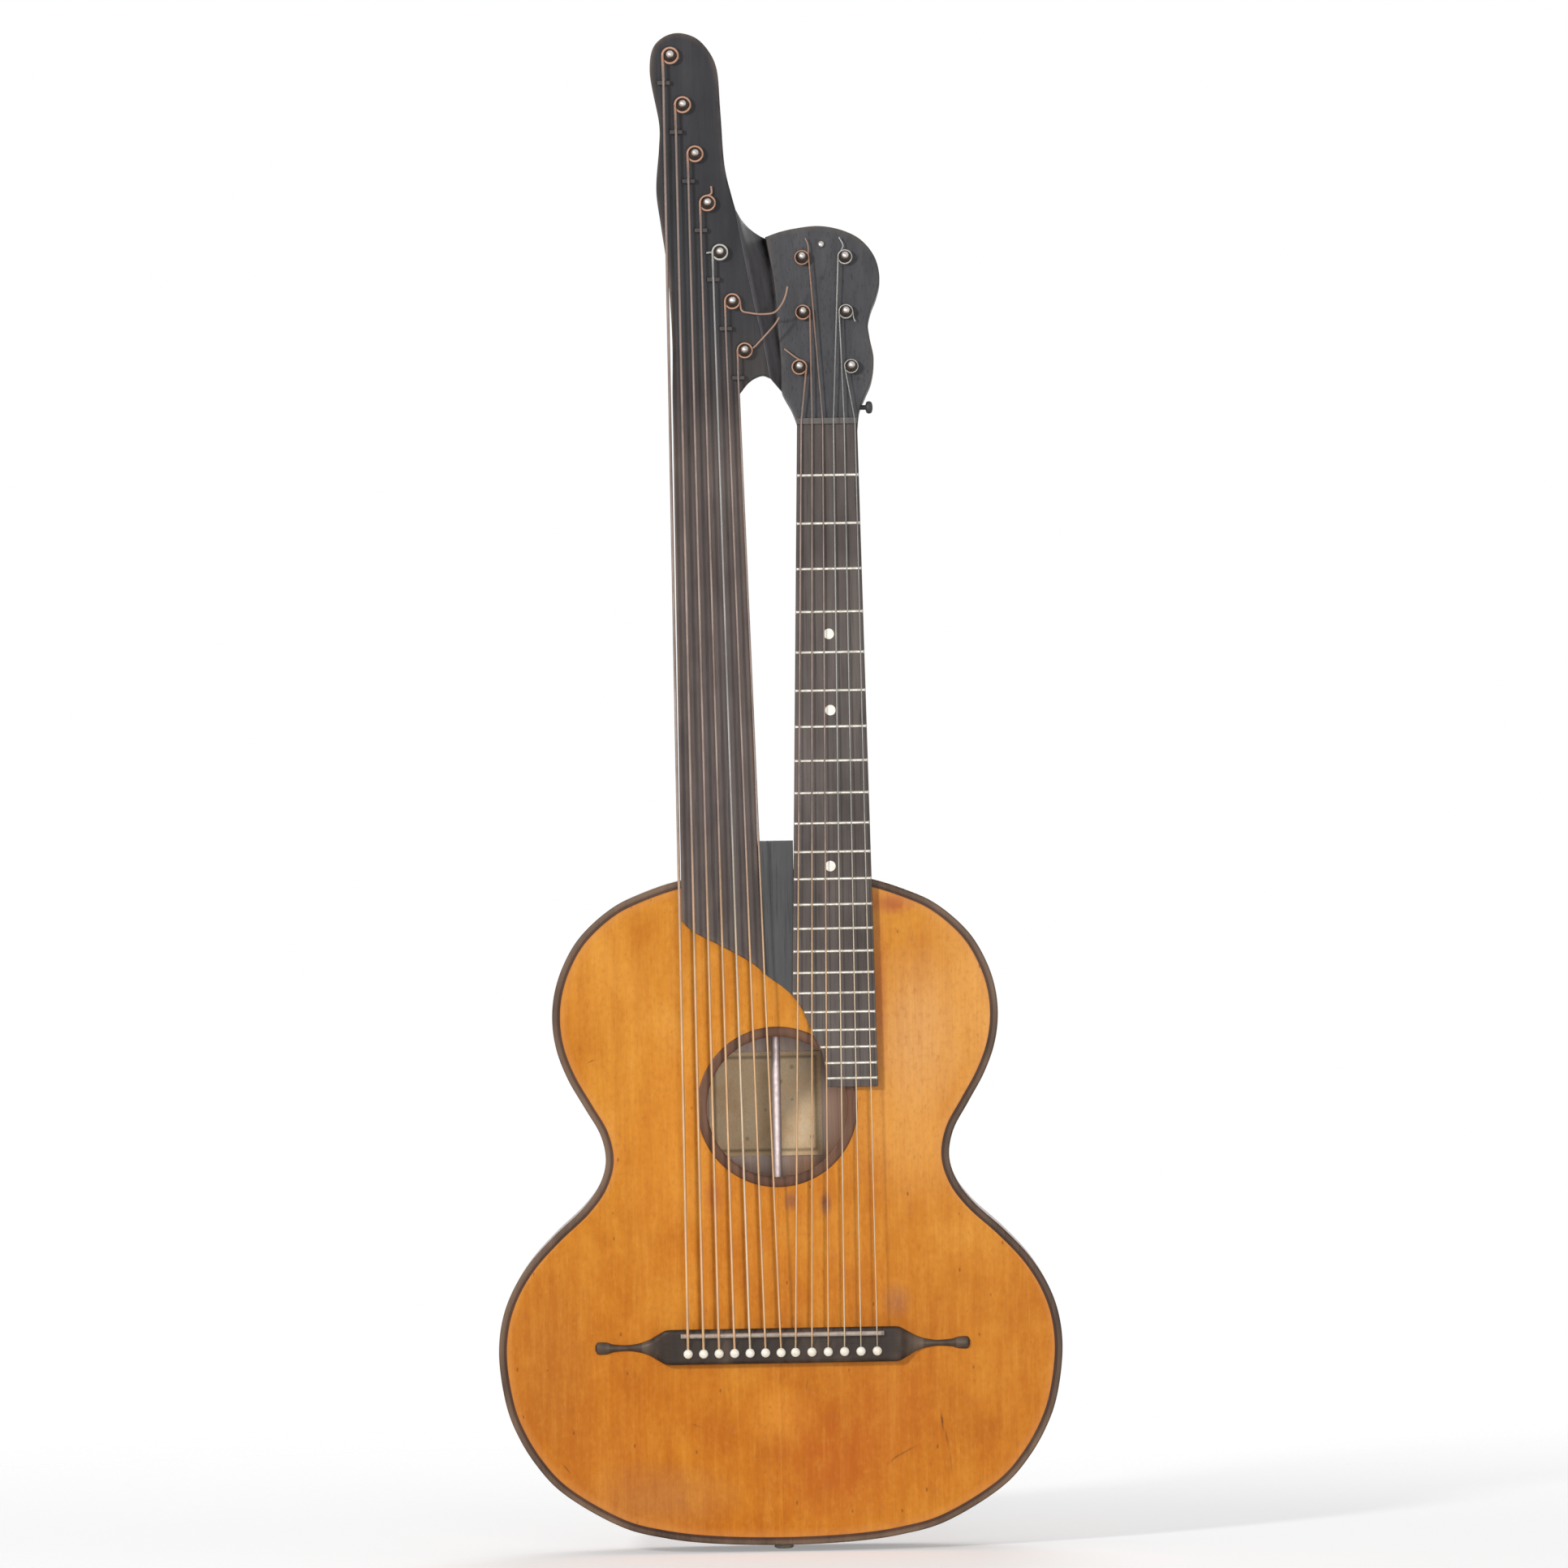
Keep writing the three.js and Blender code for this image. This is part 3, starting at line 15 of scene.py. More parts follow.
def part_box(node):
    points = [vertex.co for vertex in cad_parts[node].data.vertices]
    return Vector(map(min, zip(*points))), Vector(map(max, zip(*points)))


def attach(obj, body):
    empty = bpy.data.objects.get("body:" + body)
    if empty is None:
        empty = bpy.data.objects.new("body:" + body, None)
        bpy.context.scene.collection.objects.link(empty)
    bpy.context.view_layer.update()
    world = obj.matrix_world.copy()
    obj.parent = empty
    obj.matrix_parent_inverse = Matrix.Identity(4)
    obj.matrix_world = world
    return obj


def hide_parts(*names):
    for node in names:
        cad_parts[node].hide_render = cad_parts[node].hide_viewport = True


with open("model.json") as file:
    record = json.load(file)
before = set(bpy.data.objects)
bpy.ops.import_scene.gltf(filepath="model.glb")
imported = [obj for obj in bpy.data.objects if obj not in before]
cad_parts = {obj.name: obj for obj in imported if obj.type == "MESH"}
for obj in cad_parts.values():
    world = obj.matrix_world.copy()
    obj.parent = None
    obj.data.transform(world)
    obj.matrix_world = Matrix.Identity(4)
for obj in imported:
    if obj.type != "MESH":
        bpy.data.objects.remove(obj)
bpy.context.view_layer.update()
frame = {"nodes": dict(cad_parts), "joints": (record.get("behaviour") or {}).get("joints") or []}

BODY = "guitar"

# A node's box at rest: its lowest and highest corner, its middle and its size
Box = namedtuple("Box", "low high middle size")
Place = namedtuple("Place", "x y z")


def box_of(name):
    low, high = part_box(name)
    middle = Place(*((a + b) / 2 for a, b in zip(low, high)))
    size = Place(*(b - a for a, b in zip(low, high)))
    return Box(low, high, middle, size)


BODY_BOX = box_of("top_binding")
BOARD_BOX = box_of("fingerboard")
NUT_BOX = box_of("nut")
SADDLE_BOX = box_of("saddle")
RING_BOX = box_of("soundhole_ring")
BRIDGE_BOX = box_of("bridge")

# Sizes that follow the frame's solids
FACE_Y = BODY_BOX.low.y
BACK_Y = box_of("back_binding").high.y
BODY_FOOT = BODY_BOX.low.z
BODY_TOP = BODY_BOX.high.z
BODY_LENGTH = BODY_BOX.size.z
LOWER_BOUT = BODY_BOX.size.x
PLATE_THICKNESS = BODY_BOX.size.y
NUT_Z = NUT_BOX.low.z
NUT_THICKNESS = NUT_BOX.size.z
NUT_TOP = FACE_Y - NUT_BOX.low.y
BOARD_END_Z = BOARD_BOX.low.z
BOARD_LENGTH = NUT_Z - BOARD_END_Z
SADDLE_Z = SADDLE_BOX.middle.z
SADDLE_TOP = FACE_Y - SADDLE_BOX.low.y
SCALE_LENGTH = NUT_Z - SADDLE_Z
HOLE_X = RING_BOX.middle.x
HOLE_Z = RING_BOX.middle.z
RING_RADIUS = RING_BOX.size.x / 2
BRIDGE_TOP = FACE_Y - BRIDGE_BOX.low.y

# Body
WAIST = 0.242
UPPER_BOUT = 0.314
RIB_THICKNESS = 0.0025
LINING_WIDTH = 0.009
LINING_HEIGHT = 0.008
LINING_SLOPE = 0.006
BACK_ARCH = 0.006
BINDING_WIDTH = 0.0055
BINDING_ROUND = 0.0014
PURFLING_WIDTH = 0.0018
BRACE_WIDTH = 0.006
BRACE_HEIGHT = 0.009
SEAM = 0.00005
ARCH_START = 0.02
RING_WIDTH = 0.007
RING_PROUD = 0.001
RING_FLATNESS = 0.6
WORN_EDGE = 0.022
LABEL_THICKNESS = 0.0004
LABEL_LIFT = 0.036
LABEL_SHAPE = 0.93
BORDER_START = 0.045
BORDER_END = 0.072
END_PIN_STEM = 0.55

# Bridge, saddle and pins
BRIDGE_TIP = 0.3
BRIDGE_BLOCK = 0.97
OVAL_POWER = 2.2
SQUARE_POWER = 9
SADDLE_END_ROUND = 0.002
SADDLE_SUNK = 0.002
SADDLE_CROWN = 0.8
PIN_HEAD_RADIUS = 0.00325
PIN_HEAD_HEIGHT = 0.0034
PIN_WIDEST = 0.0014

# Neck and board
BOARD_UNDERSIDE = 0.0025
BOARD_TOP = 0.0075
BOARD_NUT_WIDTH = 0.0424
BOARD_END_WIDTH = 0.061
BOARD_NUT_X = 0.0439
BOARD_END_X = 0.0413
BOARD_BACK_ROUND = 0.0002
FRET_WIDTH = 0.0024
FRET_HEIGHT = 0.001
FRET_INSET = 0.0002
FRET_COUNT = 22
FRETS_PER_OCTAVE = 12
DOT_RADIUS = 0.0037
DOT_PLACES = [(0.0425, 0.646), (0.0427, 0.5923), (0.0408, 0.4826)]
NECK_INSET = 0.0007
NECK_DEPTH = 0.019
HEEL_DEPTH = 0.082
HEEL_HEIGHT = 0.062
NUT_STRING_X = 0.0258
NUT_STRING_SPACING = 0.00754
NUT_ROUND = 0.0006

# The neck's shaft, measured from the nut: its even part, its finer steps, where it is square and its run-in
NECK_EVEN_END = 0.07
NECK_FINE_START = 0.066
NECK_SQUARE_BELOW = 0.004
NECK_RUN_IN = 0.03

# Powers of the shafts' round backs, how much squarer neck and arm get, and over what length
ROUND_POWER = 3
NECK_SQUARING = 5
ARM_SQUARING = 15
SQUARING_LENGTH = 0.06

# Main head
HEAD_TILT = math.radians(12)
HEAD_FACE = 0.005
HEAD_LENGTH = 0.1455
HEAD_HALF_WIDTH = 0.0394
HEAD_THICKNESS = 0.015
HEAD_AXIS_X = 0.0434
HEAD_BACK_ROUND = 0.002
HEAD_PIN_HEIGHT = 0.003
HEAD_PIN_WIDEST = 0.0009
HEAD_PIN_UP = 0.897
STRAP_KNOB_RADIUS = 0.0045
STRAP_STEM_RADIUS = 0.0017
STRAP_CAP_HEIGHT = 0.0052
STRAP_CROWN = 0.0016

# Bass arm and its head
ARM_LEFT_X = -0.0645
ARM_FOOT_WIDTH = 0.0547
ARM_HEAD_WIDTH = 0.047
ARM_FACE = 0.0055
ARM_THICKNESS = 0.016
ARM_FOOT_DEPTH = 0.056
ARM_FOOT_HEIGHT = 0.046
ARM_PLATE_REACH = 0.16
ARM_FOOT_TAPER = 0.12
ARM_TAPER = 0.06
BASS_HEAD_Z = NUT_Z + 0.0234
BASS_HEAD_LENGTH = 0.254
FLARE_Z = BASS_HEAD_Z - 0.0117

# The arm's shaft, measured from the head's flare: its even part, its finer steps and its run-in, and how it
# keeps under the face and dives into the plank
ARM_EVEN_END = 0.075
ARM_FINE_START = 0.072
ARM_RUN_IN = 0.022
ARM_UNDER_FACE = 0.0006
DIVE_START = 0.0112
DIVE_SLOPE = 0.14

# The head's plank, behind the arm's face, and the small nut below each bass tuner
PLANK_SUNK = 0.003
PLANK_CORNER = 0.002
HIDDEN_ROUND = 0.0004
PLANK_BACK_ROUND = 0.0015
PLANK_BAND = 0.0006
BASS_NUT_BELOW = 0.0184
BASS_NUT_LEFT = 0.0049
BASS_NUT_WIDTH = 0.009
BASS_NUT_THICKNESS = 0.003
BASS_NUT_HEIGHT = 0.005
BASS_NUT_ROUND = 0.0007
BASS_NUT_SUNK = 0.001

# Web between the heads: the groove at its foot, its arch, what is buried in the heads, and the painted shade
# in its groove
GROOVE_DEPTH = 0.0035
WEB_SAG = 0.003
WEB_OVERLAP = 0.001
WEB_BURIED_X = 0.004
WEB_BURIED_Z = 0.003
WEB_BURIED_Y = 0.002
GROOVE_SHADE_START = 0.62
GROOVE_SHADE_RISE = 6

# Dark shoulder over the body: a plate between arm and board, and a block behind it
SHOULDER_TOP = BODY_TOP - 0.0352
SHOULDER_WIDTH = 0.0997
SHOULDER_HEIGHT = 0.118
SHOULDER_RISE = 0.020
SHOULDER_DEPTH = 0.050
SHOULDER_BACK_ROUND = 0.003
SHOULDER_BAND = 0.001
SHOULDER_LOWER_ROUND = 0.0003
UNDER_BOARD = 0.006
BESIDE_ARM = 0.0001
BESIDE_NECK = 0.0012
BLOCK_OVER_BODY = 0.004
PLATE_BELOW_BOARD = 0.0005
BLOCK_BELOW_BOARD = 0.001
PLATE_EDGE_LEAN = 0.0058

# Edges: how round they are, how wide the worn band beside them is, and how many rounds from the face a
# side's own wear starts
FINE_ROUND = 0.0005
FACE_ROUND = 0.0012
BAND = 0.003
BOARD_BAND = 0.0012
SIDE_START = 1.8

# Tuners and strings
POST_RADIUS = 0.0035
POST_BARREL = 0.0076
POST_TIP_RADIUS = 0.0027
POST_TIP_LENGTH = 0.0046
KNOB_RADIUS = 0.009
KNOB_THICKNESS = 0.007
KNOB_STANDOFF = 0.003
KNOB_FLATNESS = 0.5
KNOB_BULGE = 0.45
POLISH_START = 0.0012
WIND_START = 0.0058
WIND_CLEARANCE = 0.0008
WIND_PITCH = 1.06
SPOOL_RADIUS = 0.0042
STRING_FOOT_GAP = 0.0003
CORNER_REACH = 0.0016
BASS_DIAMETERS = [0.002, 0.0019, 0.0018, 0.0017, 0.0016, 0.0015, 0.0014]
MAIN_DIAMETERS = [0.0013, 0.00115, 0.001, 0.001, 0.00085, 0.00075]
BASS_COUNT = len(BASS_DIAMETERS)
MAIN_COUNT = len(MAIN_DIAMETERS)
SILVER_BASS = 4

# How finely things are divided
OUTLINE_STEPS = 480
CURVE_STEPS = 24
ROUND_STEPS = 5
LOOP_STEPS = 40

# Limits of the geometry: an inset's mitre and the room that its points need, and where shading breaks
MITRE_LIMIT = 0.15
INSET_ROOM = 0.97
TINY = 1e-9
SHARP_ANGLE = math.radians(38)

# Marks, which the finishes use: wear along edges, also as a painted highlight on the bridge's shoulders, and
# what is added on a string's winding and on its loose end, and on the bare inside of the back and ribs
RIM_WEAR = 0.5
SIDE_WEAR = 0.25
STRIP_SIDE_WEAR = 0.2
RING_WEAR = 0.6
TIP_WEAR_AND_HIGHLIGHT = 0.8
BLOCK_WEAR = 0.35
WINDING_MARK = 10
LOOSE_END_MARK = 6
INNER_MARK = 10

# Strings take their played colour, the played metal's shine with a painted reflection of the soundboard,
# up to the first of these heights, are dull from the second and darken between the last two
PLAYED_AND_REFLECTING_LOW = 0.40
PLAYED_AND_REFLECTING_HIGH = 0.52
TARNISHED_LOW = 0.72
TARNISHED_HIGH = 0.92

# Half of the body's outline, as shares of a bout's half width and of the body's length
lower_outline_shares = [
    (0.267, 0.0042), (0.418, 0.0126), (0.569, 0.0294), (0.788, 0.084), (0.878, 0.126), (0.9375, 0.168),
    (0.975, 0.21), (1, 0.284), (0.988, 0.336), (0.953, 0.378), (0.891, 0.42), (0.7985, 0.462), (0.69, 0.504),
]
waist_outline_shares = [(1.041, 0.536), (1, 0.571), (1.025, 0.609)]
upper_outline_shares = [
    (0.8605, 0.651), (0.9325, 0.693), (0.981, 0.735), (1, 0.777), (0.99, 0.819), (0.949, 0.861),
    (0.873, 0.903), (0.731, 0.945), (0.601, 0.966), (0.395, 0.987),
]

# Lower edge of the dark shoulder, from the arm's left edge to the fingerboard's end
shoulder_shares = [
    (0, 0), (0.063, 0.056), (0.26, 0.147), (0.491, 0.259), (0.608, 0.345), (0.7, 0.401), (0.78, 0.466),
    (0.837, 0.536), (0.882, 0.625), (0.927, 0.715), (0.973, 0.796), (0.994, 0.885), (1, 1),
]

# Main head, as shares of its half width from its axis and of its length from the nut
head_left_shares = [
    (-0.515, -0.02), (-0.518, 0.007), (-0.606, 0.08), (-0.731, 0.145), (-0.78, 0.175), (-0.79, 0.25),
    (-0.794, 0.335), (-0.84, 0.493), (-0.898, 0.718), (-1.035, 0.942),
]
head_round_shares = [
    (-1.035, 0.942), (-0.782, 0.966), (-0.492, 0.983), (-0.056, 0.993), (0.378, 0.967), (0.685, 0.919),
    (0.921, 0.832), (1, 0.725), (0.935, 0.641), (0.834, 0.57), (0.777, 0.5), (0.802, 0.43), (0.868, 0.324),
    (0.815, 0.218), (0.707, 0.148), (0.599, 0.077), (0.553, -0.02),
]

# Bass head, as shares of the arm's head width from its left edge and of the head's length
bass_left_shares = [
    (0, 0), (0.01, 0.15), (-0.046, 0.346), (-0.13, 0.465), (-0.19, 0.563), (-0.138, 0.681),
    (-0.126, 0.74), (-0.258, 0.898), (-0.196, 0.961), (-0.036, 0.989), (0.152, 0.999), (0.357, 0.992),
    (0.507, 0.975), (0.665, 0.937), (0.745, 0.898), (0.791, 0.78), (0.845, 0.622),
    (0.94, 0.543), (0.99, 0.508),
]
bass_right_shares = [
    (1.262, 0.232), (1.372, 0.142), (1.47, 0.038), (1.36, 0.0455), (1.236, 0.0385), (1.136, 0.0255),
    (1.005, -0.004),
]

# Coved web between the heads: its ridge on the bass head and its foot in the groove
ridge_shares = [(1.47, 0.038), (1.372, 0.142), (1.262, 0.232), (1.117, 0.37), (0.99, 0.508)]
groove_shares = [(1.626, 0.004), (1.628, 0.0965), (1.586, 0.185), (1.534, 0.311), (1.423, 0.433)]
cove_shares = [(0, 0), (0.14, 0.1), (0.36, 0.46), (0.62, 0.76), (0.82, 0.94), (0.92, 1.04), (1, 1)]

# Bridge, as shares of half its span, half its width and its height
bridge_shares = [
    (-1, 0.02, 0.1), (-0.996, 0.2, 0.26), (-0.975, 0.36, 0.42), (-0.94, 0.34, 0.42), (-0.9, 0.22, 0.36),
    (-0.83, 0.17, 0.34), (-0.775, 0.24, 0.4), (-0.72, 0.42, 0.52), (-0.67, 0.7, 0.74), (-0.615, 0.98, 0.97),
    (-0.59, 1, 1), (-0.56, 1, 1), (-0.4, 1, 1),
]

# The neck's heel: shares of its height, of its depth and of its narrowing towards the back
heel_shares = [(0, 1, 0.34), (0.16, 0.86, 0.3), (0.34, 0.6, 0.24), (0.56, 0.36, 0.12), (0.8, 0.26, 0.04)]

# How the strings end: turns round the post, and where the loose end goes, in post diameters
bass_turn_shares = [1.5, 1.5, 1.5, 1.19, 1.83, 1.44, 1.33]
bass_tail_shares = [
    [], [], [],
    [(0.39, 0.99), (0.4, 1.73)],
    [(-0.71, 0), (-1.36, 0.01)],
    [(0.94, -0.93), (1.76, -1.19), (2.99, -1.33), (4.21, -1.16), (4.96, -0.34), (5.39, 0.63), (5.56, 1.44)],
    [(0.7, 0.23), (1.07, 0.46), (1.43, 0.84), (2.26, 1.71), (3.1, 2.67), (3.51, 3.31)],
]
main_turn_shares = [1.17, 2.25, 2.03, 2.08, 2.47, 2.25]
main_tail_shares = [
    [(-0.2, 0.93), (-1.49, 1.94)], [], [(0.64, 1.31), (0.37, 2.06)],
    [(-0.17, 1.2), (-0.57, 2.11)], [(0.77, -0.61), (0.93, -1.03)], [],
]

# End pin, as shares of its radius and of its height below the body
end_pin_shares = [
    (0, 0), (0.6, 0), (0.8, 0.06), (0.97, 0.22), (1, 0.36), (0.9, 0.55), (0.8, 0.7), (0.76, 1), (0.57, 1),
]

# Small turned pieces: share of the radius, and height, or depth below the top in the strap knob's cap
pin_profile = [(0, -0.006), (0.544, -0.006), (0.68, 0), (0.86, 0.0002), (1, 0.0009)]
head_pin_profile = [(0, -0.005), (0.5, -0.005), (0.5, 0), (0.9, 0.0002)]
strap_cap_profile = [(0.5, 0.005), (0.86, 0.0044), (1, 0.003), (0.97, 0.002)]
dot_profile = [(0, -0.001), (1, -0.001), (1, 0.00002), (0.9, 0.00008), (0, 0.0001)]

# A tuner's post over its head's face: radius and height
post_profile = [
    (POST_RADIUS, 0.0002), (SPOOL_RADIUS, 0.0006), (SPOOL_RADIUS, WIND_START + 0.0002),
    (POST_RADIUS, WIND_START + 0.0008), (POST_RADIUS, POST_BARREL - 0.0006),
    (POST_RADIUS * 0.92, POST_BARREL - 0.0002), (POST_TIP_RADIUS * 0.9, POST_BARREL + 0.0003),
    (POST_TIP_RADIUS * 0.86, POST_BARREL + 0.001), (POST_TIP_RADIUS * 0.97, POST_BARREL + 0.0017),
]

# A fret's end: distance from it, and share of the fret's height
fret_end_shape = [(0, 0.1), (0.0004, 0.7), (0.001, 1)]

# The arm's foot: share of its height, and depth
arm_foot_shape = [(0, ARM_FOOT_DEPTH), (0.48, ARM_FOOT_DEPTH * 0.62), (0.992, ARM_THICKNESS * 1.25)]

# Ladder braces: share of the body's length, and half of the brace's length
FRONT_BRACES = [(0.79, 0.118), (0.5, 0.1), (0.41, 0.15), (0.18, 0.155)]
BACK_BRACES = [(0.84, 0.105), (0.5, 0.1), (0.2, 0.158)]


# Camera: the photograph is taken straight from the front and turned a little to the left
PHOTO_TURN = math.radians(1)
VIEW_WIDTH = 1.1039
VIEW_X = 0.0092
VIEW_Z = 0.5409
VIEW_Y = FACE_Y - 0.003
CAMERA_DISTANCE = 8
SENSOR_MM = 36


def make_camera():
    data = bpy.data.cameras.new("camera")
    data.sensor_width = SENSOR_MM
    data.lens = SENSOR_MM * CAMERA_DISTANCE / VIEW_WIDTH
    facing = Matrix.Rotation(math.pi / 2, 4, "X") @ Matrix.Rotation(-PHOTO_TURN, 4, "Z")
    place = (VIEW_X, VIEW_Y - CAMERA_DISTANCE, VIEW_Z)
    bpy.context.scene.camera = in_scene("camera", data, place, facing.to_quaternion())


def in_scene(name, data, place=(0, 0, 0), turn=None):
    thing = bpy.data.objects.new(name, data)
    thing.location = place
    if turn:
        thing.rotation_mode = "QUATERNION"
        thing.rotation_quaternion = turn
    bpy.context.scene.collection.objects.link(thing)
    return thing


# A node tree under construction; a value is a number, a tuple or another node's output
class Nodes:
    def __init__(self, tree):
        self.nodes = tree.nodes
        self.links = tree.links

    def put(self, value, socket):
        if isinstance(value, bpy.types.NodeSocket):
            self.links.new(value, socket)
        else:
            socket.default_value = value

    # A new node, with values for its inputs by number or name, and with its settings
    def add(self, kind, values, **settings):
        node = self.nodes.new(f"ShaderNode{kind}")
        for setting, value in settings.items():
            setattr(node, setting, value)
        for key, value in values.items():
            self.put(value, node.inputs[key])
        return node.outputs

    def calc(self, operation, *values, clamp=False):
        return self.add("Math", dict(enumerate(values)), operation=operation, use_clamp=clamp)[0]

    def remap(self, value, low, high, to_low=0.0, to_high=1.0):
        ends = {"From Min": low, "From Max": high, "To Min": to_low, "To Max": to_high}
        return self.add("MapRange", {"Value": value, **ends})["Result"]

    def length(self, vector):
        return self.add("VectorMath", {0: vector}, operation="LENGTH")["Value"]


# A material under construction: its colour and relief are laid one over the other on a Principled shader
class Finish(Nodes):
    def __init__(self, name, roughness=0.5, metallic=0.0, coat=0.0, specular=0.5):
        self.material = bpy.data.materials.new(name)
        self.material.use_nodes = True
        super().__init__(self.material.node_tree)
        self.shader = self.nodes["Principled BSDF"].inputs
        for entry, value in (("Roughness", roughness), ("Metallic", metallic), ("Coat Weight", coat),
                             ("Coat Roughness", 0.25), ("Specular IOR Level", specular)):
            self.shader[entry].default_value = value
        self.place = self.add("TexCoord", {})["Object"]
        self.colour = None
        self.relief = None

    def noise(self, scale, detail=3.0, roughness=0.5, distortion=0.0, place=None):
        values = {"Vector": self.stretched(scale, place), "Scale": 1, "Detail": detail,
                  "Roughness": roughness, "Distortion": distortion}
        return self.add("TexNoise", values)["Fac"]

    def stretched(self, scale, place=None):
        return self.add("Mapping", {"Vector": place or self.place, "Scale": scale})[0]

    # Small marks in some of the texture's cells: 1 in their middle, 0 outside
    def specks(self, scale, size, share):
        cells = self.add("TexVoronoi", {"Vector": self.stretched(scale), "Scale": 1})
        split = self.add("SeparateColor", {0: cells["Color"]})
        chosen = self.calc("LESS_THAN", split[0], share)
        radius = self.calc("MULTIPLY", split[1], size)
        inside = self.calc("SUBTRACT", radius, cells["Distance"])
        return self.calc("MULTIPLY", self.remap(inside, 0, size * 0.3), chosen)

    # 1 in the middle of a soft oval patch on the front, 0 outside it; a turned one leans to the right
    def patch(self, x, z, half_width, half_height, turn=0.0):
        values = {"Vector": self.place, "Location": (x, FACE_Y, z), "Rotation": (0, math.radians(turn), 0),
                  "Scale": (half_width, 1, half_height)}
        return self.remap(self.length(self.add("Mapping", values, vector_type="TEXTURE")[0]), 1, 0.2)

    def along(self, axis):
        return self.add("SeparateXYZ", {0: self.place})[axis]

    # A place in a wood whose grain runs along z
    def in_wood(self, x, z):
        return self.add("CombineXYZ", {0: x, 2: z})[0]

    def mark(self):
        return self.add("Attribute", {}, attribute_name="mark")["Fac"]

    # A colour for each value; stops are given as position and colour
    def ramp(self, value, *stops):
        node = self.nodes.new("ShaderNodeValToRGB")
        self.put(value, node.inputs["Fac"])
        elements = node.color_ramp.elements
        while len(elements) < len(stops):
            elements.new(1)
        for element, (position, colour) in zip(elements, stops):
            element.position = position
            element.color = linear(colour)
        return node.outputs["Color"]

    def mixed(self, factor, first, second):
        a, b = (linear(value) if isinstance(value, tuple) else value for value in (first, second))
        return self.add("Mix", {"Factor": factor, "A": a, "B": b}, data_type="RGBA")["Result"]

    # Colours laid over what is there: none where the value is at low, and strength times at high
    def layers(self, *rows):
        for value, low, high, strength, colour in rows:
            self.colour = self.mixed(self.remap(value, low, high, 0, strength), self.colour, colour)

    def cover(self, amount, strength, colour):
        self.colour = self.mixed(self.calc("MULTIPLY", amount, strength), self.colour, colour)

    def bump(self, height, distance, strength):
        values = {"Height": height, "Distance": distance, "Strength": strength}
        if self.relief:
            values["Normal"] = self.relief
        self.relief = self.add("Bump", values)["Normal"]

    def done(self, roughness=None):
        self.put(self.colour, self.shader["Base Color"])
        if roughness:
            self.put(roughness, self.shader["Roughness"])
        self.put(self.relief, self.shader["Normal"])
        return self.material


# A colour as read from a picture, 0 to 255, as the shader's linear value
def linear(colour):
    shares = [value / 255 for value in colour]
    return tuple(c / 12.92 if c <= 0.04045 else ((c + 0.055) / 1.055) ** 2.4 for c in shares) + (1.0,)


def darker(colour, share):
    return tuple(value * share for value in colour)


# Stains and worn places of the soundboard: x, z, half width, half height, colour, strength
STAINS = [
    (0.150, 0.395, 0.060, 0.115, (238, 172, 90), 0.6),
    (0.100, 0.300, 0.060, 0.070, (238, 170, 88), 0.5),
    (0.098, 0.365, 0.040, 0.070, (238, 180, 112), 0.6),
    (-0.070, 0.300, 0.070, 0.090, (226, 146, 42), 0.5),
    (-0.120, 0.400, 0.050, 0.050, (222, 146, 50), 0.4),
    (0.000, 0.095, 0.028, 0.028, (230, 150, 50), 0.6),
    (-0.165, 0.130, 0.050, 0.110, (184, 106, 26), 0.75),
    (-0.090, 0.040, 0.070, 0.030, (182, 120, 62), 0.6),
    (0.038, 0.062, 0.055, 0.062, (184, 88, 6), 0.75),
    (0.080, 0.100, 0.040, 0.040, (190, 100, 20), 0.5),
    (-0.120, 0.070, 0.050, 0.050, (192, 110, 30), 0.4),
    (0.082, 0.176, 0.013, 0.016, (170, 108, 66), 0.7),
    (0.083, 0.456, 0.024, 0.010, (172, 80, 44), 0.75),
    (0.074, 0.400, 0.007, 0.090, (184, 92, 34), 0.6),
    (-0.045, 0.252, 0.009, 0.022, (178, 92, 40), 0.6),
    (0.0092, 0.247, 0.007, 0.009, (132, 76, 62), 0.75),
    (0.0332, 0.244, 0.0055, 0.012, (104, 62, 60), 0.85),
]

# Scratches and short dark marks: x, z, half width, half length, lean in degrees, strength
SCRATCHES = [
    (0.1128, 0.0905, 0.0011, 0.0085, -6, 0.85), (0.1160, 0.0770, 0.0009, 0.0095, -9, 0.6),
    (0.1185, 0.0620, 0.0008, 0.0120, -3, 0.3), (0.0860, 0.0690, 0.0010, 0.0130, 62, 0.5),
    (0.0780, 0.0640, 0.0008, 0.0070, 50, 0.4), (-0.1520, 0.0610, 0.0009, 0.0060, -38, 0.6),
    (0.1360, 0.4420, 0.0007, 0.0050, 20, 0.5), (-0.1300, 0.3480, 0.0007, 0.0040, 64, 0.5),
    (0.0180, 0.1180, 0.0007, 0.0060, 8, 0.4), (-0.0600, 0.0900, 0.0007, 0.0050, -70, 0.4),
]


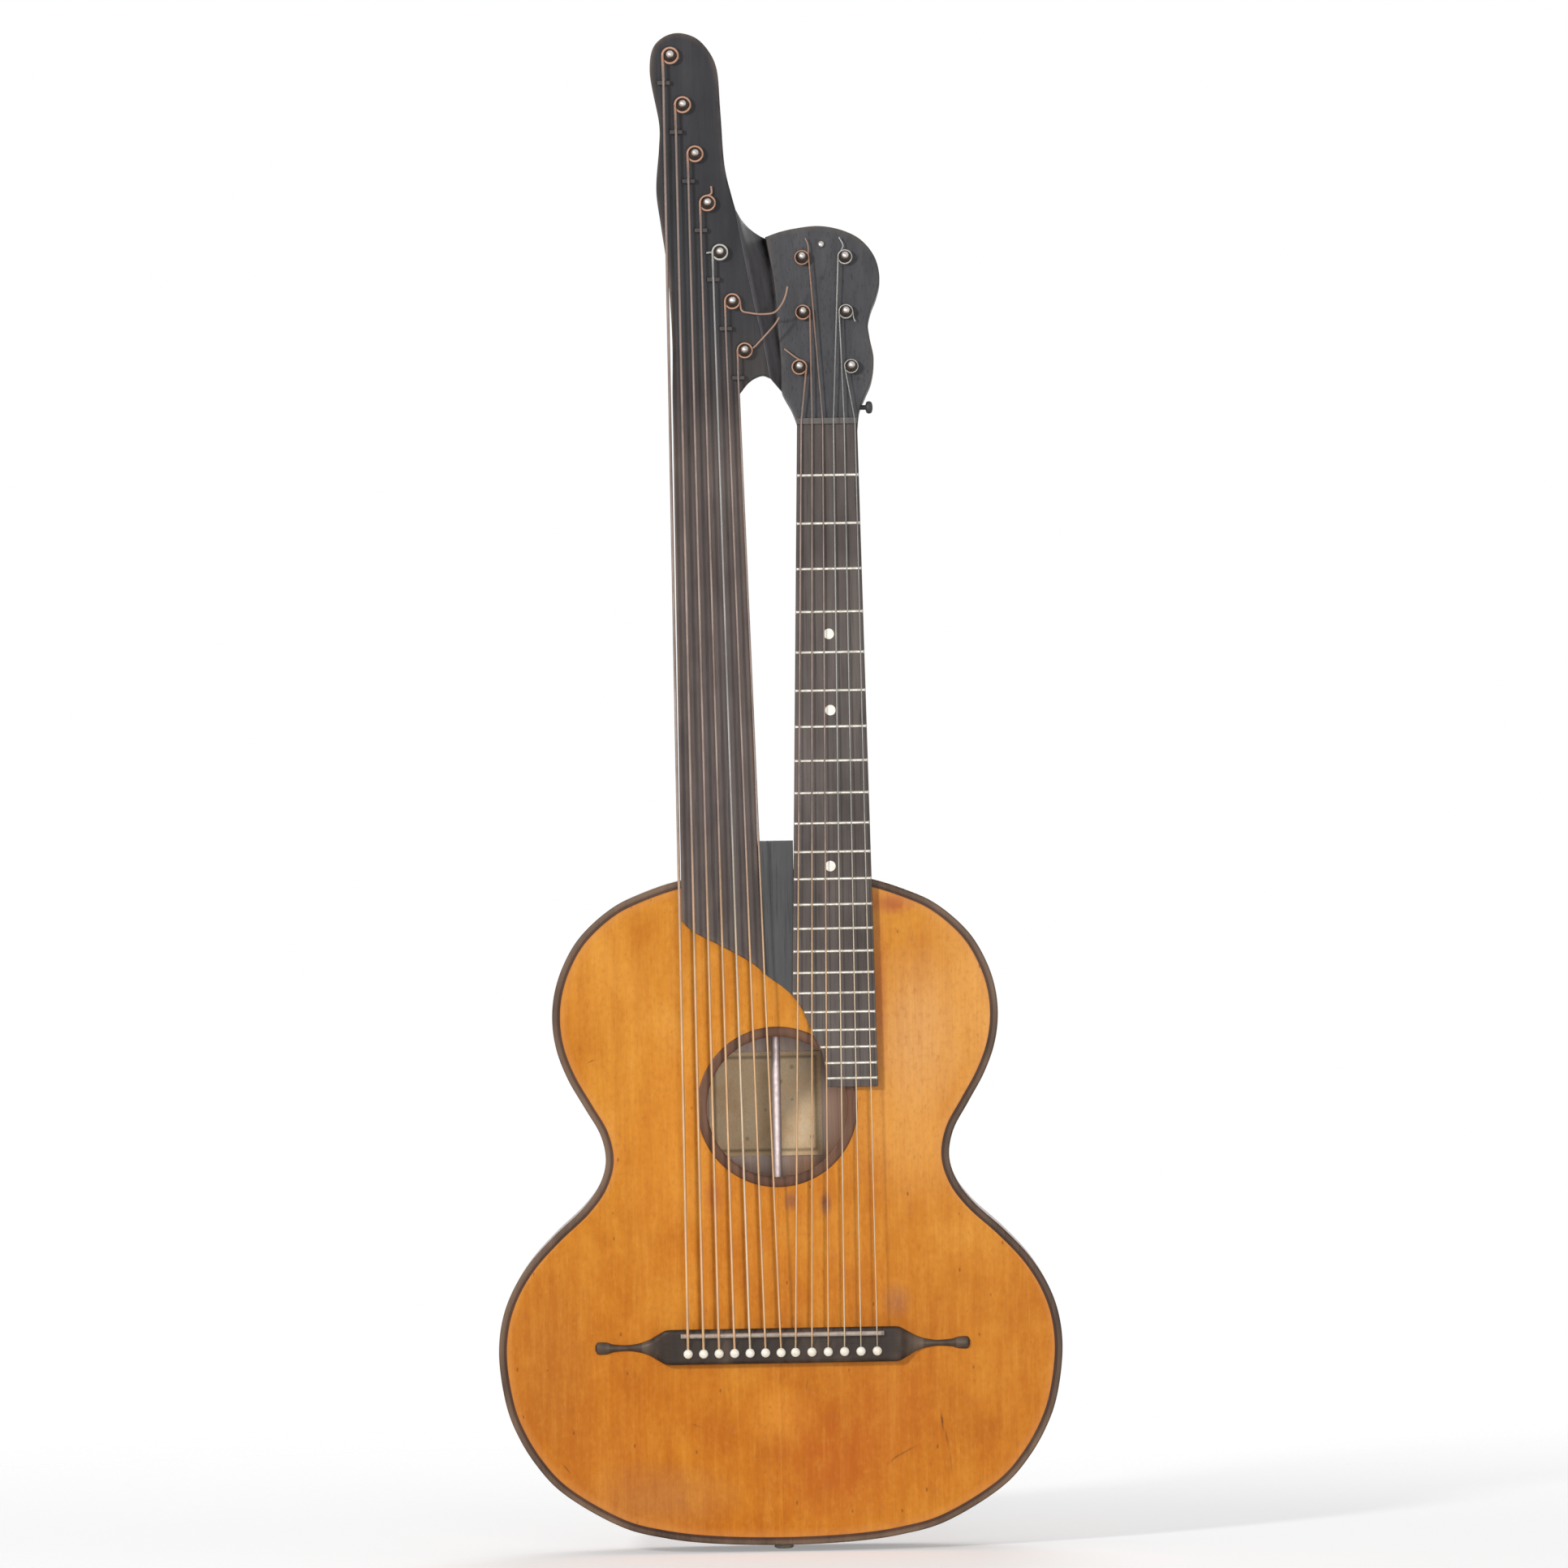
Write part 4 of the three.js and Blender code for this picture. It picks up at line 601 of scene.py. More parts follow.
# In the finishes, a noise has its scale along X, Y and Z, its detail, roughness and distortion; a row of
# layers has its value, where the colour starts and is full, its strength and the colour
def spruce_finish():
    finish = Finish("spruce_varnish", coat=0.03, specular=0.12)
    streaks = finish.noise((430, 20, 34), 4, 0.65, 0.5)
    broad = finish.noise((130, 20, 8), 3, 0.6, 0.3)
    year_rings = finish.noise((1150, 20, 6), 1, 0.4)
    fleck = finish.noise((330, 20, 240), 3, 0.6)
    pores = finish.noise((760, 20, 190), 1, 0.5)
    mottle = finish.noise((110, 60, 60), 4, 0.65)
    cloud = finish.noise((24, 24, 15), 4, 0.6)
    drift = finish.noise((7, 7, 5), 2, 0.5)
    from_joint = finish.calc("ABSOLUTE", finish.along("X"))
    edge = finish.mark()
    foot = finish.ramp(cloud, (0.3, (182, 98, 8)), (0.5, (198, 115, 12)), (0.7, (210, 132, 24)))
    top = finish.ramp(cloud, (0.3, (198, 118, 20)), (0.5, (211, 135, 32)), (0.7, (223, 152, 52)))
    rise = finish.calc("ADD", finish.remap(finish.along("Z"), 0.06, 0.40),
                       finish.remap(drift, 0.3, 0.7, -0.22, 0.22))
    finish.colour = finish.mixed(finish.remap(rise, 0, 1), foot, top)
    for x, z, wide, tall, colour, strength in STAINS:
        ragged = finish.calc("ADD", finish.patch(x, z, wide, tall),
                             finish.remap(mottle, 0.3, 0.7, -0.12, 0.08))
        finish.cover(finish.remap(ragged, 0.05, 0.95), strength, colour)
    finish.layers(
        (mottle, 0.5, 0.8, 0.16, (176, 92, 14)), (mottle, 0.48, 0.2, 0.18, (236, 168, 66)),
        (broad, 0.5, 0.76, 0.24, (176, 94, 18)), (broad, 0.5, 0.26, 0.22, (238, 168, 68)),
        (streaks, 0.5, 0.78, 0.2, (166, 86, 20)), (streaks, 0.48, 0.24, 0.14, (240, 174, 80)),
        (fleck, 0.5, 0.75, 0.26, (164, 88, 24)), (fleck, 0.45, 0.25, 0.12, (240, 174, 84)),
        (year_rings, 0.5, 0.75, 0.09, (156, 84, 28)), (from_joint, 0.0007, 0, 0.22, (146, 78, 22)),
        (edge, 0.7, 1, 0.3, (226, 156, 90)), (edge, 0.95, 1, 0.35, (150, 84, 40)),
        (pores, 0.66, 0.78, 0.25, (126, 66, 22)),
    )
    specks = finish.specks((230, 20, 115), 0.27, 0.3)
    finish.cover(specks, 0.62, (118, 62, 22))
    broken = finish.remap(pores, 0.35, 0.5, 0.5, 1)
    for x, z, wide, long, turn, strength in SCRATCHES:
        scratch = finish.calc("MULTIPLY", finish.patch(x, z, wide, long, turn), broken)
        finish.cover(scratch, strength, (88, 42, 20))
    finish.bump(streaks, 0.00006, 0.5)
    finish.bump(finish.calc("MULTIPLY", specks, -1.0), 0.0002, 0.4)
    finish.bump(cloud, 0.0006, 0.2)
    return finish.done(finish.remap(cloud, 0.3, 0.7, 0.5, 0.4))


# Dark wood, stained and worn, with pores along Z; the edges' mark lets the wear through, which is also
# painted highlight on the bridge's shoulders and painted shade in the web's groove
def stained_finish(name, deep, light, worn_and_painted_light, wear_and_painted_light, shine, grain=(900, 900, 26), top=None):
    finish = Finish(name, coat=0.02, specular=0.2)
    cloud = finish.noise((16, 16, 9), 4, 0.6)
    pores = finish.noise(grain, 2, 0.6)
    streaks = finish.noise((140, 140, 6), 3, 0.6)
    scuffs = finish.noise((60, 60, 900), 2, 0.7)
    blend = finish.calc("ADD", finish.calc("MULTIPLY", cloud, 0.6), finish.calc("MULTIPLY", streaks, 0.4))
    finish.colour = finish.ramp(blend, (0.36, deep), (0.64, light))
    if top:
        upper = finish.ramp(blend, (0.36, top[0]), (0.64, top[1]))
        rise = finish.remap(finish.along("Z"), BASS_HEAD_Z - 0.05, BASS_HEAD_Z + 0.05)
        finish.colour = finish.mixed(rise, finish.colour, upper)
    finish.layers((pores, 0.56, 0.74, 0.55, darker(deep, 0.45)))
    # The marked colour: wear on edges, a painted highlight on the bridge's shoulders, painted shade in the
    # web's groove
    finish.cover(finish.calc("MULTIPLY", finish.mark(), finish.remap(cloud, 0.42, 0.62)), wear_and_painted_light, worn_and_painted_light)
    finish.layers((scuffs, 0.66, 0.8, 0.25, light))
    finish.cover(finish.specks((75, 75, 75), 0.1, 0.3), 0.22, worn_and_painted_light)
    finish.bump(pores, 0.0001, 0.5)
    finish.bump(cloud, 0.0005, 0.3)
    return finish.done(finish.remap(cloud, 0.3, 0.7, shine + 0.08, shine - 0.06))


# Varnished hardwood of the back, halved at its seam, or of the ribs, along the length that is their mark;
# where it is marked as inner, it is bare
def hardwood_finish(name, seam=False):
    finish = Finish(name, coat=0.3)
    mark = finish.mark()
    if seam:
        from_seam = finish.calc("ABSOLUTE", finish.along("X"))
        slant = finish.calc("ADD", from_seam, finish.calc("MULTIPLY", finish.along("Z"), 0.03))
        place = finish.in_wood(slant, finish.along("Z"))
    else:
        place = finish.in_wood(finish.along("Y"), finish.calc("MODULO", mark, INNER_MARK))
    lines = finish.noise((300, 20, 3.2), 4, 0.65, 0.2, place)
    bands = finish.noise((46, 20, 1.3), 3, 0.55, 0.35, place)
    pores = finish.noise((1500, 20, 75), 2, 0.6, 0.0, place)
    curl = finish.noise((16, 20, 85), 2, 0.5, 0.5, place)
    cloud = finish.noise((9, 14, 7), 4, 0.6)
    scuffs = finish.noise((70, 300, 500), 3, 0.7)
    finish.colour = finish.ramp(bands, (0.3, (96, 52, 28)), (0.5, (128, 74, 40)), (0.7, (150, 92, 52)))
    finish.layers(
        (lines, 0.5, 0.72, 0.6, (68, 36, 20)), (lines, 0.46, 0.28, 0.3, (172, 110, 64)),
        (curl, 0.5, 0.74, 0.16, (182, 118, 68)), (cloud, 0.5, 0.75, 0.35, (86, 46, 26)),
        (pores, 0.58, 0.72, 0.45, (50, 27, 16)), (scuffs, 0.66, 0.78, 0.3, (176, 124, 82)),
    )
    finish.cover(finish.specks((60, 60, 45), 0.1, 0.2), 0.5, (48, 26, 16))
    if seam:
        finish.layers((from_seam, 0.0024, 0.002, 1, (178, 128, 78)))
        finish.layers((from_seam, 0.0015, 0.0012, 1, (46, 30, 22)))
    bare = finish.ramp(lines, (0.3, (134, 86, 50)), (0.7, (172, 120, 76)))
    finish.layers((mark, INNER_MARK / 2, INNER_MARK, 1, bare))
    finish.bump(pores, 0.00008, 0.5)
    finish.bump(lines, 0.00015, 0.2)
    return finish.done(finish.remap(cloud, 0.3, 0.7, 0.3, 0.42))


def inner_finish():
    finish = Finish("inner_wood_bare", roughness=0.75)
    lines = finish.noise((260, 260, 8), 3, 0.6)
    finish.colour = finish.ramp(lines, (0.35, (150, 110, 70)), (0.65, (186, 144, 98)))
    finish.bump(lines, 0.0002, 0.5)
    return finish.done()


# Bone, yellowed in patches, with fine lines along it
def bone_finish(name, pale, yellowed):
    finish = Finish(name, roughness=0.35, coat=0.2)
    cloud = finish.noise((240, 240, 160), 3, 0.6)
    fine = finish.noise((1800, 1800, 300), 2, 0.5)
    finish.colour = finish.ramp(cloud, (0.35, pale), (0.68, yellowed))
    finish.layers((fine, 0.6, 0.8, 0.3, darker(yellowed, 0.7)))
    finish.bump(fine, 0.00004, 0.4)
    return finish.done(finish.remap(cloud, 0.3, 0.7, 0.3, 0.42))


# Brushed metal; where a tarnish is given, only the marked places are bright, and on the tuner posts the dark
# tarnish also paints the shade under their tips
def metal_finish(name, bright, dull, shine, grain=(900, 900, 900), tarnish_and_shade=None, metallic=1.0):
    finish = Finish(name, metallic=metallic)
    cloud = finish.noise((260, 260, 260), 4, 0.6)
    fine = finish.noise(grain, 2, 0.5)
    finish.colour = finish.ramp(cloud, (0.38, bright), (0.7, dull))
    if tarnish_and_shade:
        finish.colour = finish.mixed(finish.mark(), tarnish_and_shade, finish.colour)
    finish.bump(fine, 0.00003, 0.4)
    return finish.done(finish.remap(cloud, 0.35, 0.7, shine, shine + 0.22))


# A wound string: the wrap wire makes fine ridges along it, dark in between where it has tarnished
def wound_finish(name, played_and_reflection, bright, dull, fresh, pitch):
    finish = Finish(name, metallic=0.6)
    mark = finish.mark()
    height = finish.along("Z")
    ridge = finish.calc("ABSOLUTE", finish.calc("SINE", finish.calc("MULTIPLY", mark, math.pi / pitch)))
    cloud = finish.noise((30, 30, 22), 4, 0.65)
    # The played colour: the played metal's shine and a painted reflection of the orange soundboard below it
    worn_and_painted_light = finish.ramp(cloud, (0.36, played_and_reflection), (0.66, darker(played_and_reflection, 0.9)))
    finish.colour = finish.ramp(cloud, (0.36, bright), (0.66, dull))
    finish.layers((height, TARNISHED_LOW, TARNISHED_HIGH, 0.6, dull))
    finish.colour = finish.mixed(finish.remap(height, PLAYED_AND_REFLECTING_LOW, PLAYED_AND_REFLECTING_HIGH), worn_and_painted_light, finish.colour)
    finish.layers((mark, LOOSE_END_MARK / 2, WINDING_MARK, 1, fresh))
    finish.layers((ridge, 0.3, 0.0, 0.5, darker(dull, 0.5)))
    finish.bump(ridge, pitch * 0.3, 0.7)
    return finish.done(finish.remap(cloud, 0.3, 0.7, 0.42, 0.6))


# Old paper with a plain ruled border and water marks; nothing is printed on it. Its colours are painted
# lighter than the paper's own, as painted light on the label inside the body
def paper_finish():
    finish = Finish("label_paper_aged_painted_light", roughness=0.9)
    cloud = finish.noise((45, 45, 45), 4, 0.6)
    fibre = finish.noise((900, 900, 500), 3, 0.6)
    # Near white: painted light inside the body
    stops = (0.32, (244, 208, 162)), (0.5, (255, 224, 180)), (0.7, (255, 234, 198))
    finish.colour = finish.ramp(cloud, *stops)
    finish.layers((fibre, 0.4, 0.8, 0.3, (190, 160, 118)))
    finish.cover(finish.mark(), 0.6, (96, 72, 50))
    finish.cover(finish.specks((90, 90, 90), 0.2, 0.3), 0.4, (126, 88, 52))
    finish.bump(fibre, 0.0001, 0.4)
    return finish.done()


SPRUCE = spruce_finish()
BACK_WOOD = hardwood_finish("back_varnish", seam=True)
RIB_WOOD = hardwood_finish("rib_varnish")
INNER_WOOD = inner_finish()
BINDING = stained_finish("binding_wood", (76, 58, 46), (106, 84, 68), (142, 114, 90), 0.5, 0.45)
PURFLING = stained_finish("purfling_wood", (54, 32, 20), (82, 50, 32), (100, 64, 40), 0.3, 0.45)
RING_WOOD = stained_finish("ring_wood", (76, 48, 34), (112, 76, 54), (140, 100, 76), 0.5, 0.45)
ARM_WOOD = stained_finish("arm_wood_black", (64, 54, 51), (101, 89, 84), (130, 110, 97), 0.7, 0.46,
                          top=((38, 37, 40), (57, 56, 59)))
# The web's wood is painted lighter than the arm's, as painted light on its slope, and its dark colour for
# marked places is painted shade in the groove
WEB_WOOD_PAINTED_LIGHT_AND_SHADE = stained_finish("web_wood_painted_light_and_shade", (84, 82, 84), (112, 110, 113), (30, 28, 29), 0.95, 0.42)
HEAD_WOOD = stained_finish("head_wood_grey", (65, 65, 67), (88, 88, 91), (116, 100, 88), 0.7, 0.46)
SHOULDER_WOOD = stained_finish("shoulder_wood_grey", (68, 68, 69), (86, 86, 87), (116, 104, 94), 0.6, 0.48)
BOARD_WOOD = stained_finish("board_wood_ebony", (63, 55, 52), (104, 94, 89), (108, 92, 82), 0.6, 0.5)
# The bridge's pale worn colour is wear and, on its slanted shoulders, a painted highlight
BRIDGE_WOOD = stained_finish("bridge_wood_ebony", (40, 30, 23), (68, 53, 43), (160, 138, 120), 0.6, 0.4,
                             grain=(26, 900, 900))
KNOB_WOOD = stained_finish("knob_wood_ebony", (34, 28, 26), (58, 48, 43), (96, 76, 62), 0.5, 0.35)
BASS_NUT_WOOD = stained_finish("bass_nut_ebony", (60, 57, 57), (80, 76, 75), (104, 92, 86), 0.5, 0.4)
NUT_WOOD = stained_finish("nut_horn_grey", (84, 80, 78), (112, 106, 102), (140, 130, 122), 0.4, 0.45)
BONE = bone_finish("pin_bone", (248, 245, 236), (236, 226, 204))
GREY_BONE = bone_finish("saddle_bone_grey", (174, 161, 149), (148, 133, 120))
LABEL_PAPER_PAINTED_LIGHT = paper_finish()
# The posts are dark below their polished tips: tarnish, and painted shade under the tips
POST_STEEL = metal_finish("tuner_steel", (206, 200, 196), (166, 156, 150), 0.3, tarnish_and_shade=(74, 64, 58))
STEEL = metal_finish("pin_steel", (214, 210, 206), (176, 168, 162), 0.25)
ROD_STEEL = metal_finish("rod_steel", (236, 220, 218), (214, 194, 190), 0.45, (60, 60, 20), metallic=0.55)
FRET_STEEL = metal_finish("fret_steel", (202, 198, 189), (168, 161, 149), 0.36)
# The first colour is the played colour low on the strings: their shine and a painted reflection of the
# soundboard
COPPER = wound_finish("copper_wire_wound", (234, 193, 148), (172, 153, 143), (138, 121, 113),
                      (192, 150, 127), 0.00055)
SILVER = wound_finish("silver_wire_wound", (230, 210, 181), (178, 176, 172), (148, 146, 143),
                      (198, 196, 190), 0.00045)


# Curves and outlines
def curve_through(points, count, closed=False):
    """count points at even steps along a centripetal Catmull-Rom curve."""
    knots = [np.asarray(point, float) for point in points]
    if closed:
        knots = [knots[-1], *knots, knots[0], knots[1]]
    else:
        knots = [2 * knots[0] - knots[1], *knots, 2 * knots[-1] - knots[-2]]
    fine = []
    for a, b, c, d in zip(knots, knots[1:], knots[2:], knots[3:]):
        t1 = max(np.linalg.norm(b - a), TINY) ** 0.5
        t2 = t1 + max(np.linalg.norm(c - b), TINY) ** 0.5
        t3 = t2 + max(np.linalg.norm(d - c), TINY) ** 0.5
        for t in np.linspace(t1, t2, CURVE_STEPS, endpoint=False):
            ab = (a * (t1 - t) + b * t) / t1
            bc = (b * (t2 - t) + c * (t - t1)) / (t2 - t1)
            cd = (c * (t3 - t) + d * (t - t2)) / (t3 - t2)
            abc = (ab * (t2 - t) + bc * t) / t2
            bcd = (bc * (t3 - t) + cd * (t - t1)) / (t3 - t1)
            fine.append((abc * (t2 - t) + bcd * (t - t1)) / (t2 - t1))
    fine.append(fine[0] if closed else knots[-2])
    return evenly(fine, count, closed)


def evenly(points, count, closed=False):
    points = np.asarray(points)
    lengths = np.concatenate([[0], np.cumsum(np.linalg.norm(np.diff(points, axis=0), axis=1))])
    stops = np.linspace(0, lengths[-1], count, endpoint=not closed)
    return np.stack([np.interp(stops, lengths, column) for column in points.T], axis=1)


def inset(outline, distance):
    """A closed anticlockwise outline moved inwards; points that run out of room gather in the new corner."""
    outline = np.asarray(outline, float)
    if abs(distance) < TINY:
        return outline
    ahead = np.roll(outline, -1, axis=0) - outline
    lengths = np.maximum(np.linalg.norm(ahead, axis=1, keepdims=True), TINY)
    ahead = ahead / lengths
    turn = (ahead + np.roll(ahead, 1, axis=0)) / 2
    mitre = np.maximum(np.sum(turn * turn, axis=1, keepdims=True), MITRE_LIMIT)
    moved = outline + np.stack([-turn[:, 1], turn[:, 0]], axis=1) * distance / mitre
    ways = moved[:, None] - outline[None]
    shares = np.clip(np.sum(ways * ahead[None], axis=2) / lengths.T, 0, 1)
    rooms = np.linalg.norm(ways - (ahead * lengths)[None] * shares[..., None], axis=2).min(axis=1)
    kept = np.flatnonzero(rooms > abs(distance) * INSET_ROOM)
    steps = np.arange(len(outline))
    return np.stack([np.interp(steps, kept, column[kept], period=len(outline)) for column in moved.T], axis=1)


def anticlockwise(outline):
    outline = np.asarray(outline, float)
    ahead = np.roll(outline, -1, axis=0)
    area = np.sum(outline[:, 0] * ahead[:, 1] - ahead[:, 0] * outline[:, 1])
    return outline if area > 0 else outline[::-1]


def placed(shares, x0, width, z0, height):
    return [(x0 + x * width, z0 + z * height) for x, z in shares]


# The outlines of the main head, round its axis and from its nut, and of the bass head
def on_main_head(shares):
    return placed(shares, HEAD_AXIS_X, HEAD_HALF_WIDTH, 0, HEAD_LENGTH)


def on_bass_head(shares):
    return placed(shares, ARM_LEFT_X, ARM_HEAD_WIDTH, BASS_HEAD_Z, BASS_HEAD_LENGTH)


def at_height(height):
    return FACE_Y - height


def with_depth(outline, y):
    return np.stack([outline[:, 0], np.full(len(outline), y), outline[:, 1]], axis=1)


# Shells: points, faces and each point's mark, which the finishes use for wear, painted highlight and shade,
# or for length
def join(*shells):
    points, faces, marks = [], [], []
    for shell_points, shell_faces, shell_marks in shells:
        start = len(points)
        points.extend(shell_points)
        faces.extend(tuple(index + start for index in face) for face in shell_faces)
        marks.extend(shell_marks)
    return points, faces, marks


def loft(rings, marks=None, around=False, open_ends=False):
    """Quads through closed rings of points; its ends are capped unless it goes all the way around."""
    count = len(rings[0])
    points = [point for ring in rings for point in ring]
    faces = []
    steps = len(rings) if around else len(rings) - 1
    for step in range(steps):
        start, after = step * count, (step + 1) % len(rings) * count
        for corner in range(count):
            beside = (corner + 1) % count
            faces.append((start + corner, start + beside, after + beside, after + corner))
    if not around and not open_ends:
        for start, ring in ((0, rings[0]), (steps * count, rings[-1])):
            triangles = tessellate_polygon([[Vector(point) for point in ring]])
            faces.extend(tuple(start + index for index in triangle) for triangle in triangles)
    if marks is None:
        marks = [0.0] * len(rings)
    return points, faces, [mark for mark in marks for _ in range(count)]


def moved(shell, matrix):
    points, faces, marks = shell
    return [matrix @ Vector(point) for point in points], faces, marks


def rounded_edge(y, edge_round, inwards, first=0):
    """A rounded edge, from its face to its side: how far it has still to go outwards, and its y."""
    angles = [step / ROUND_STEPS * math.pi / 2 for step in range(first, ROUND_STEPS + 1)]
    return [(edge_round * (1 - math.sin(a)), y + inwards * edge_round * (1 - math.cos(a))) for a in angles]


def rounded_slab(outline, front, back, front_round, back_round, band=BAND):
    """A plate from y front to y back, its edges rounded; the mark is 1 along its front and back edges."""
    outline = anticlockwise(outline)
    rings, marks = [], []
    for y, edge_round, inwards in ((front, front_round, 1), (back, back_round, -1)):
        profile = [(edge_round + band, y, 0), (edge_round, y, RIM_WEAR)]
        profile += [(gone, ring_y, 1) for gone, ring_y in rounded_edge(y, edge_round, inwards, 1)]
        profile.append((0, y + inwards * edge_round * SIDE_START, SIDE_WEAR))
        if inwards < 0:
            profile.reverse()
        for distance, ring_y, mark in profile:
            rings.append(with_depth(inset(outline, distance), ring_y))
            marks.append(mark)
    return loft(rings, marks)


def turned(profile, segments=48):
    """Turned round the local -Y axis: profile holds (radius, height) and starts and ends on the axis."""
    angles = np.linspace(0, 2 * math.pi, segments, endpoint=False)
    rings = [[(math.cos(a) * radius, -height, math.sin(a) * radius) for a in angles]
             for radius, height in profile[1:-1]]
    points, faces, marks = loft(rings, open_ends=True)
    for start, (_, height) in ((0, profile[0]), (len(points) - segments, profile[-1])):
        pole = len(points)
        points.append((0, -height, 0))
        marks.append(0.0)
        faces.extend((start + corner, start + (corner + 1) % segments, pole) for corner in range(segments))
    return points, faces, marks


def arc_profile(radius, height, top, steps=8):
    """A quarter of an ellipse from (radius, height) to the axis at top."""
    return [(radius * math.cos(a), height + (top - height) * math.sin(a))
            for a in np.linspace(0, math.pi / 2, steps)]


def tube(path, radius, sides=12):
    path = [Vector(point) for point in path]
    side = Vector((1, 0, 0))
    rings, marks, length = [], [], 0.0
    before = None
    for index, point in enumerate(path):
        last, ahead = path[max(index - 1, 0)], path[min(index + 1, len(path) - 1)]
        length += (point - last).length
        tangent = (ahead - last).normalized()
        if before is not None:
            side = before.rotation_difference(tangent) @ side
        side = (side - tangent * side.dot(tangent)).normalized()
        up = tangent.cross(side)
        angles = [corner / sides * 2 * math.pi for corner in range(sides)]
        rings.append([point + (side * math.cos(a) + up * math.sin(a)) * radius for a in angles])
        marks.append(length)
        before = tangent
    return loft(rings, marks)


def bar(x0, x1, low, high, z0, z1, edge_round=FINE_ROUND):
    outline = [(x0, z0), (x1, z0), (x1, z1), (x0, z1)]
    return rounded_slab(outline, at_height(high), at_height(low), edge_round, edge_round, edge_round)


def ridge_bar(stations, middle, half, foot_half, foot, steps):
    """A bar along x with a round crown; a station has its x, its height at the sides and the crown's rise."""
    angles = np.linspace(0, math.pi, steps)
    base = [(middle + foot_half, foot), (middle - foot_half, foot)]
    rings = []
    for x, height, rise in stations:
        crown = [(middle - math.cos(a) * half, height + rise * math.sin(a)) for a in angles]
        rings.append([(x, at_height(up), z) for z, up in crown + base])
    return loft(rings)


def add_piece(name, shell, material, replaces=(), body=BODY):
    points, faces, marks = shell
    mesh = bpy.data.meshes.new(name)
    mesh.from_pydata([tuple(point) for point in points], [], faces)
    layer = mesh.attributes.new("mark", "FLOAT", "POINT")
    layer.data.foreach_set("value", np.array(marks, np.float32))
    mesh.shade_smooth()
    mesh.set_sharp_from_angle(angle=SHARP_ANGLE)
    mesh.materials.append(material)
    piece = in_scene(name, mesh)
    outwards(piece)
    weighted = piece.modifiers.new("flat_faces_stay_flat", "WEIGHTED_NORMAL")
    weighted.keep_sharp = True
    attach(piece, body)
    if replaces:
        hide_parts(*replaces)


# A fine piece in place of the node that has its name
def refine(node, shell, material):
    add_piece(f"{node}_fine", shell, material, [node])


def outwards(piece):
    shell = bmesh.new()
    shell.from_mesh(piece.data)
    bmesh.ops.recalc_face_normals(shell, faces=shell.faces)
    shell.to_mesh(piece.data)
    shell.free()


def body_outline():
    half = [
        *placed(lower_outline_shares, 0, LOWER_BOUT / 2, BODY_FOOT, BODY_LENGTH),
        *placed(waist_outline_shares, 0, WAIST / 2, BODY_FOOT, BODY_LENGTH),
        *placed(upper_outline_shares, 0, UPPER_BOUT / 2, BODY_FOOT, BODY_LENGTH),
    ]
    mirrored = [(-x, z) for x, z in reversed(half)]
    return curve_through([(0, BODY_FOOT), *half, (0, BODY_TOP), *mirrored], OUTLINE_STEPS, closed=True)


OUTLINE = body_outline()


def braces(places, top):
    bars = []
    for share, reach in places:
        z = BODY_FOOT + share * BODY_LENGTH
        bars.append(bar(-reach, reach, top - BRACE_HEIGHT, top, z - BRACE_WIDTH / 2, z + BRACE_WIDTH / 2))
    return bars


def make_soundboard():
    edge = inset(OUTLINE, BINDING_WIDTH + SEAM)
    hole = np.array([HOLE_X, HOLE_Z])
    ways = edge - hole
    far = np.linalg.norm(ways, axis=1, keepdims=True)
    rim = hole + ways / far * (RING_RADIUS + SEAM)
    rings, marks = [], []
    for share in np.linspace(0, 1, 41) ** 1.5:
        rings.append(with_depth(edge + (rim - edge) * share, FACE_Y))
        marks.extend(np.clip(1 - share * (far[:, 0] - RING_RADIUS) / WORN_EDGE, 0, 1))
    for share in (1, 0):
        rings.append(with_depth(edge + (rim - edge) * share, FACE_Y + PLATE_THICKNESS))
        marks.extend([0.0] * OUTLINE_STEPS)
    points, faces, _ = loft(rings, around=True)
    plate = points, faces, marks
    refine("soundboard", join(plate, *braces(FRONT_BRACES, -PLATE_THICKNESS)), SPRUCE)


def make_back():
    edge = inset(OUTLINE, BINDING_WIDTH + SEAM)
    middle = np.array([0, BODY_FOOT + waist_outline_shares[1][1] * BODY_LENGTH])
    shares = np.sin(np.linspace(ARCH_START, math.pi / 2, 24))
    rings, marks = [], []
    for thick, order, mark in ((0, shares, 0), (PLATE_THICKNESS, shares[::-1], INNER_MARK)):
        for share in order:
            y = BACK_Y + BACK_ARCH * (1 - share * share) - thick
            rings.append(with_depth(middle + (edge - middle) * share, y))
            marks.append(mark)
    brace_top = FACE_Y - BACK_Y + PLATE_THICKNESS + BRACE_HEIGHT
    refine("back", join(loft(rings, marks), *braces(BACK_BRACES, brace_top)), BACK_WOOD)


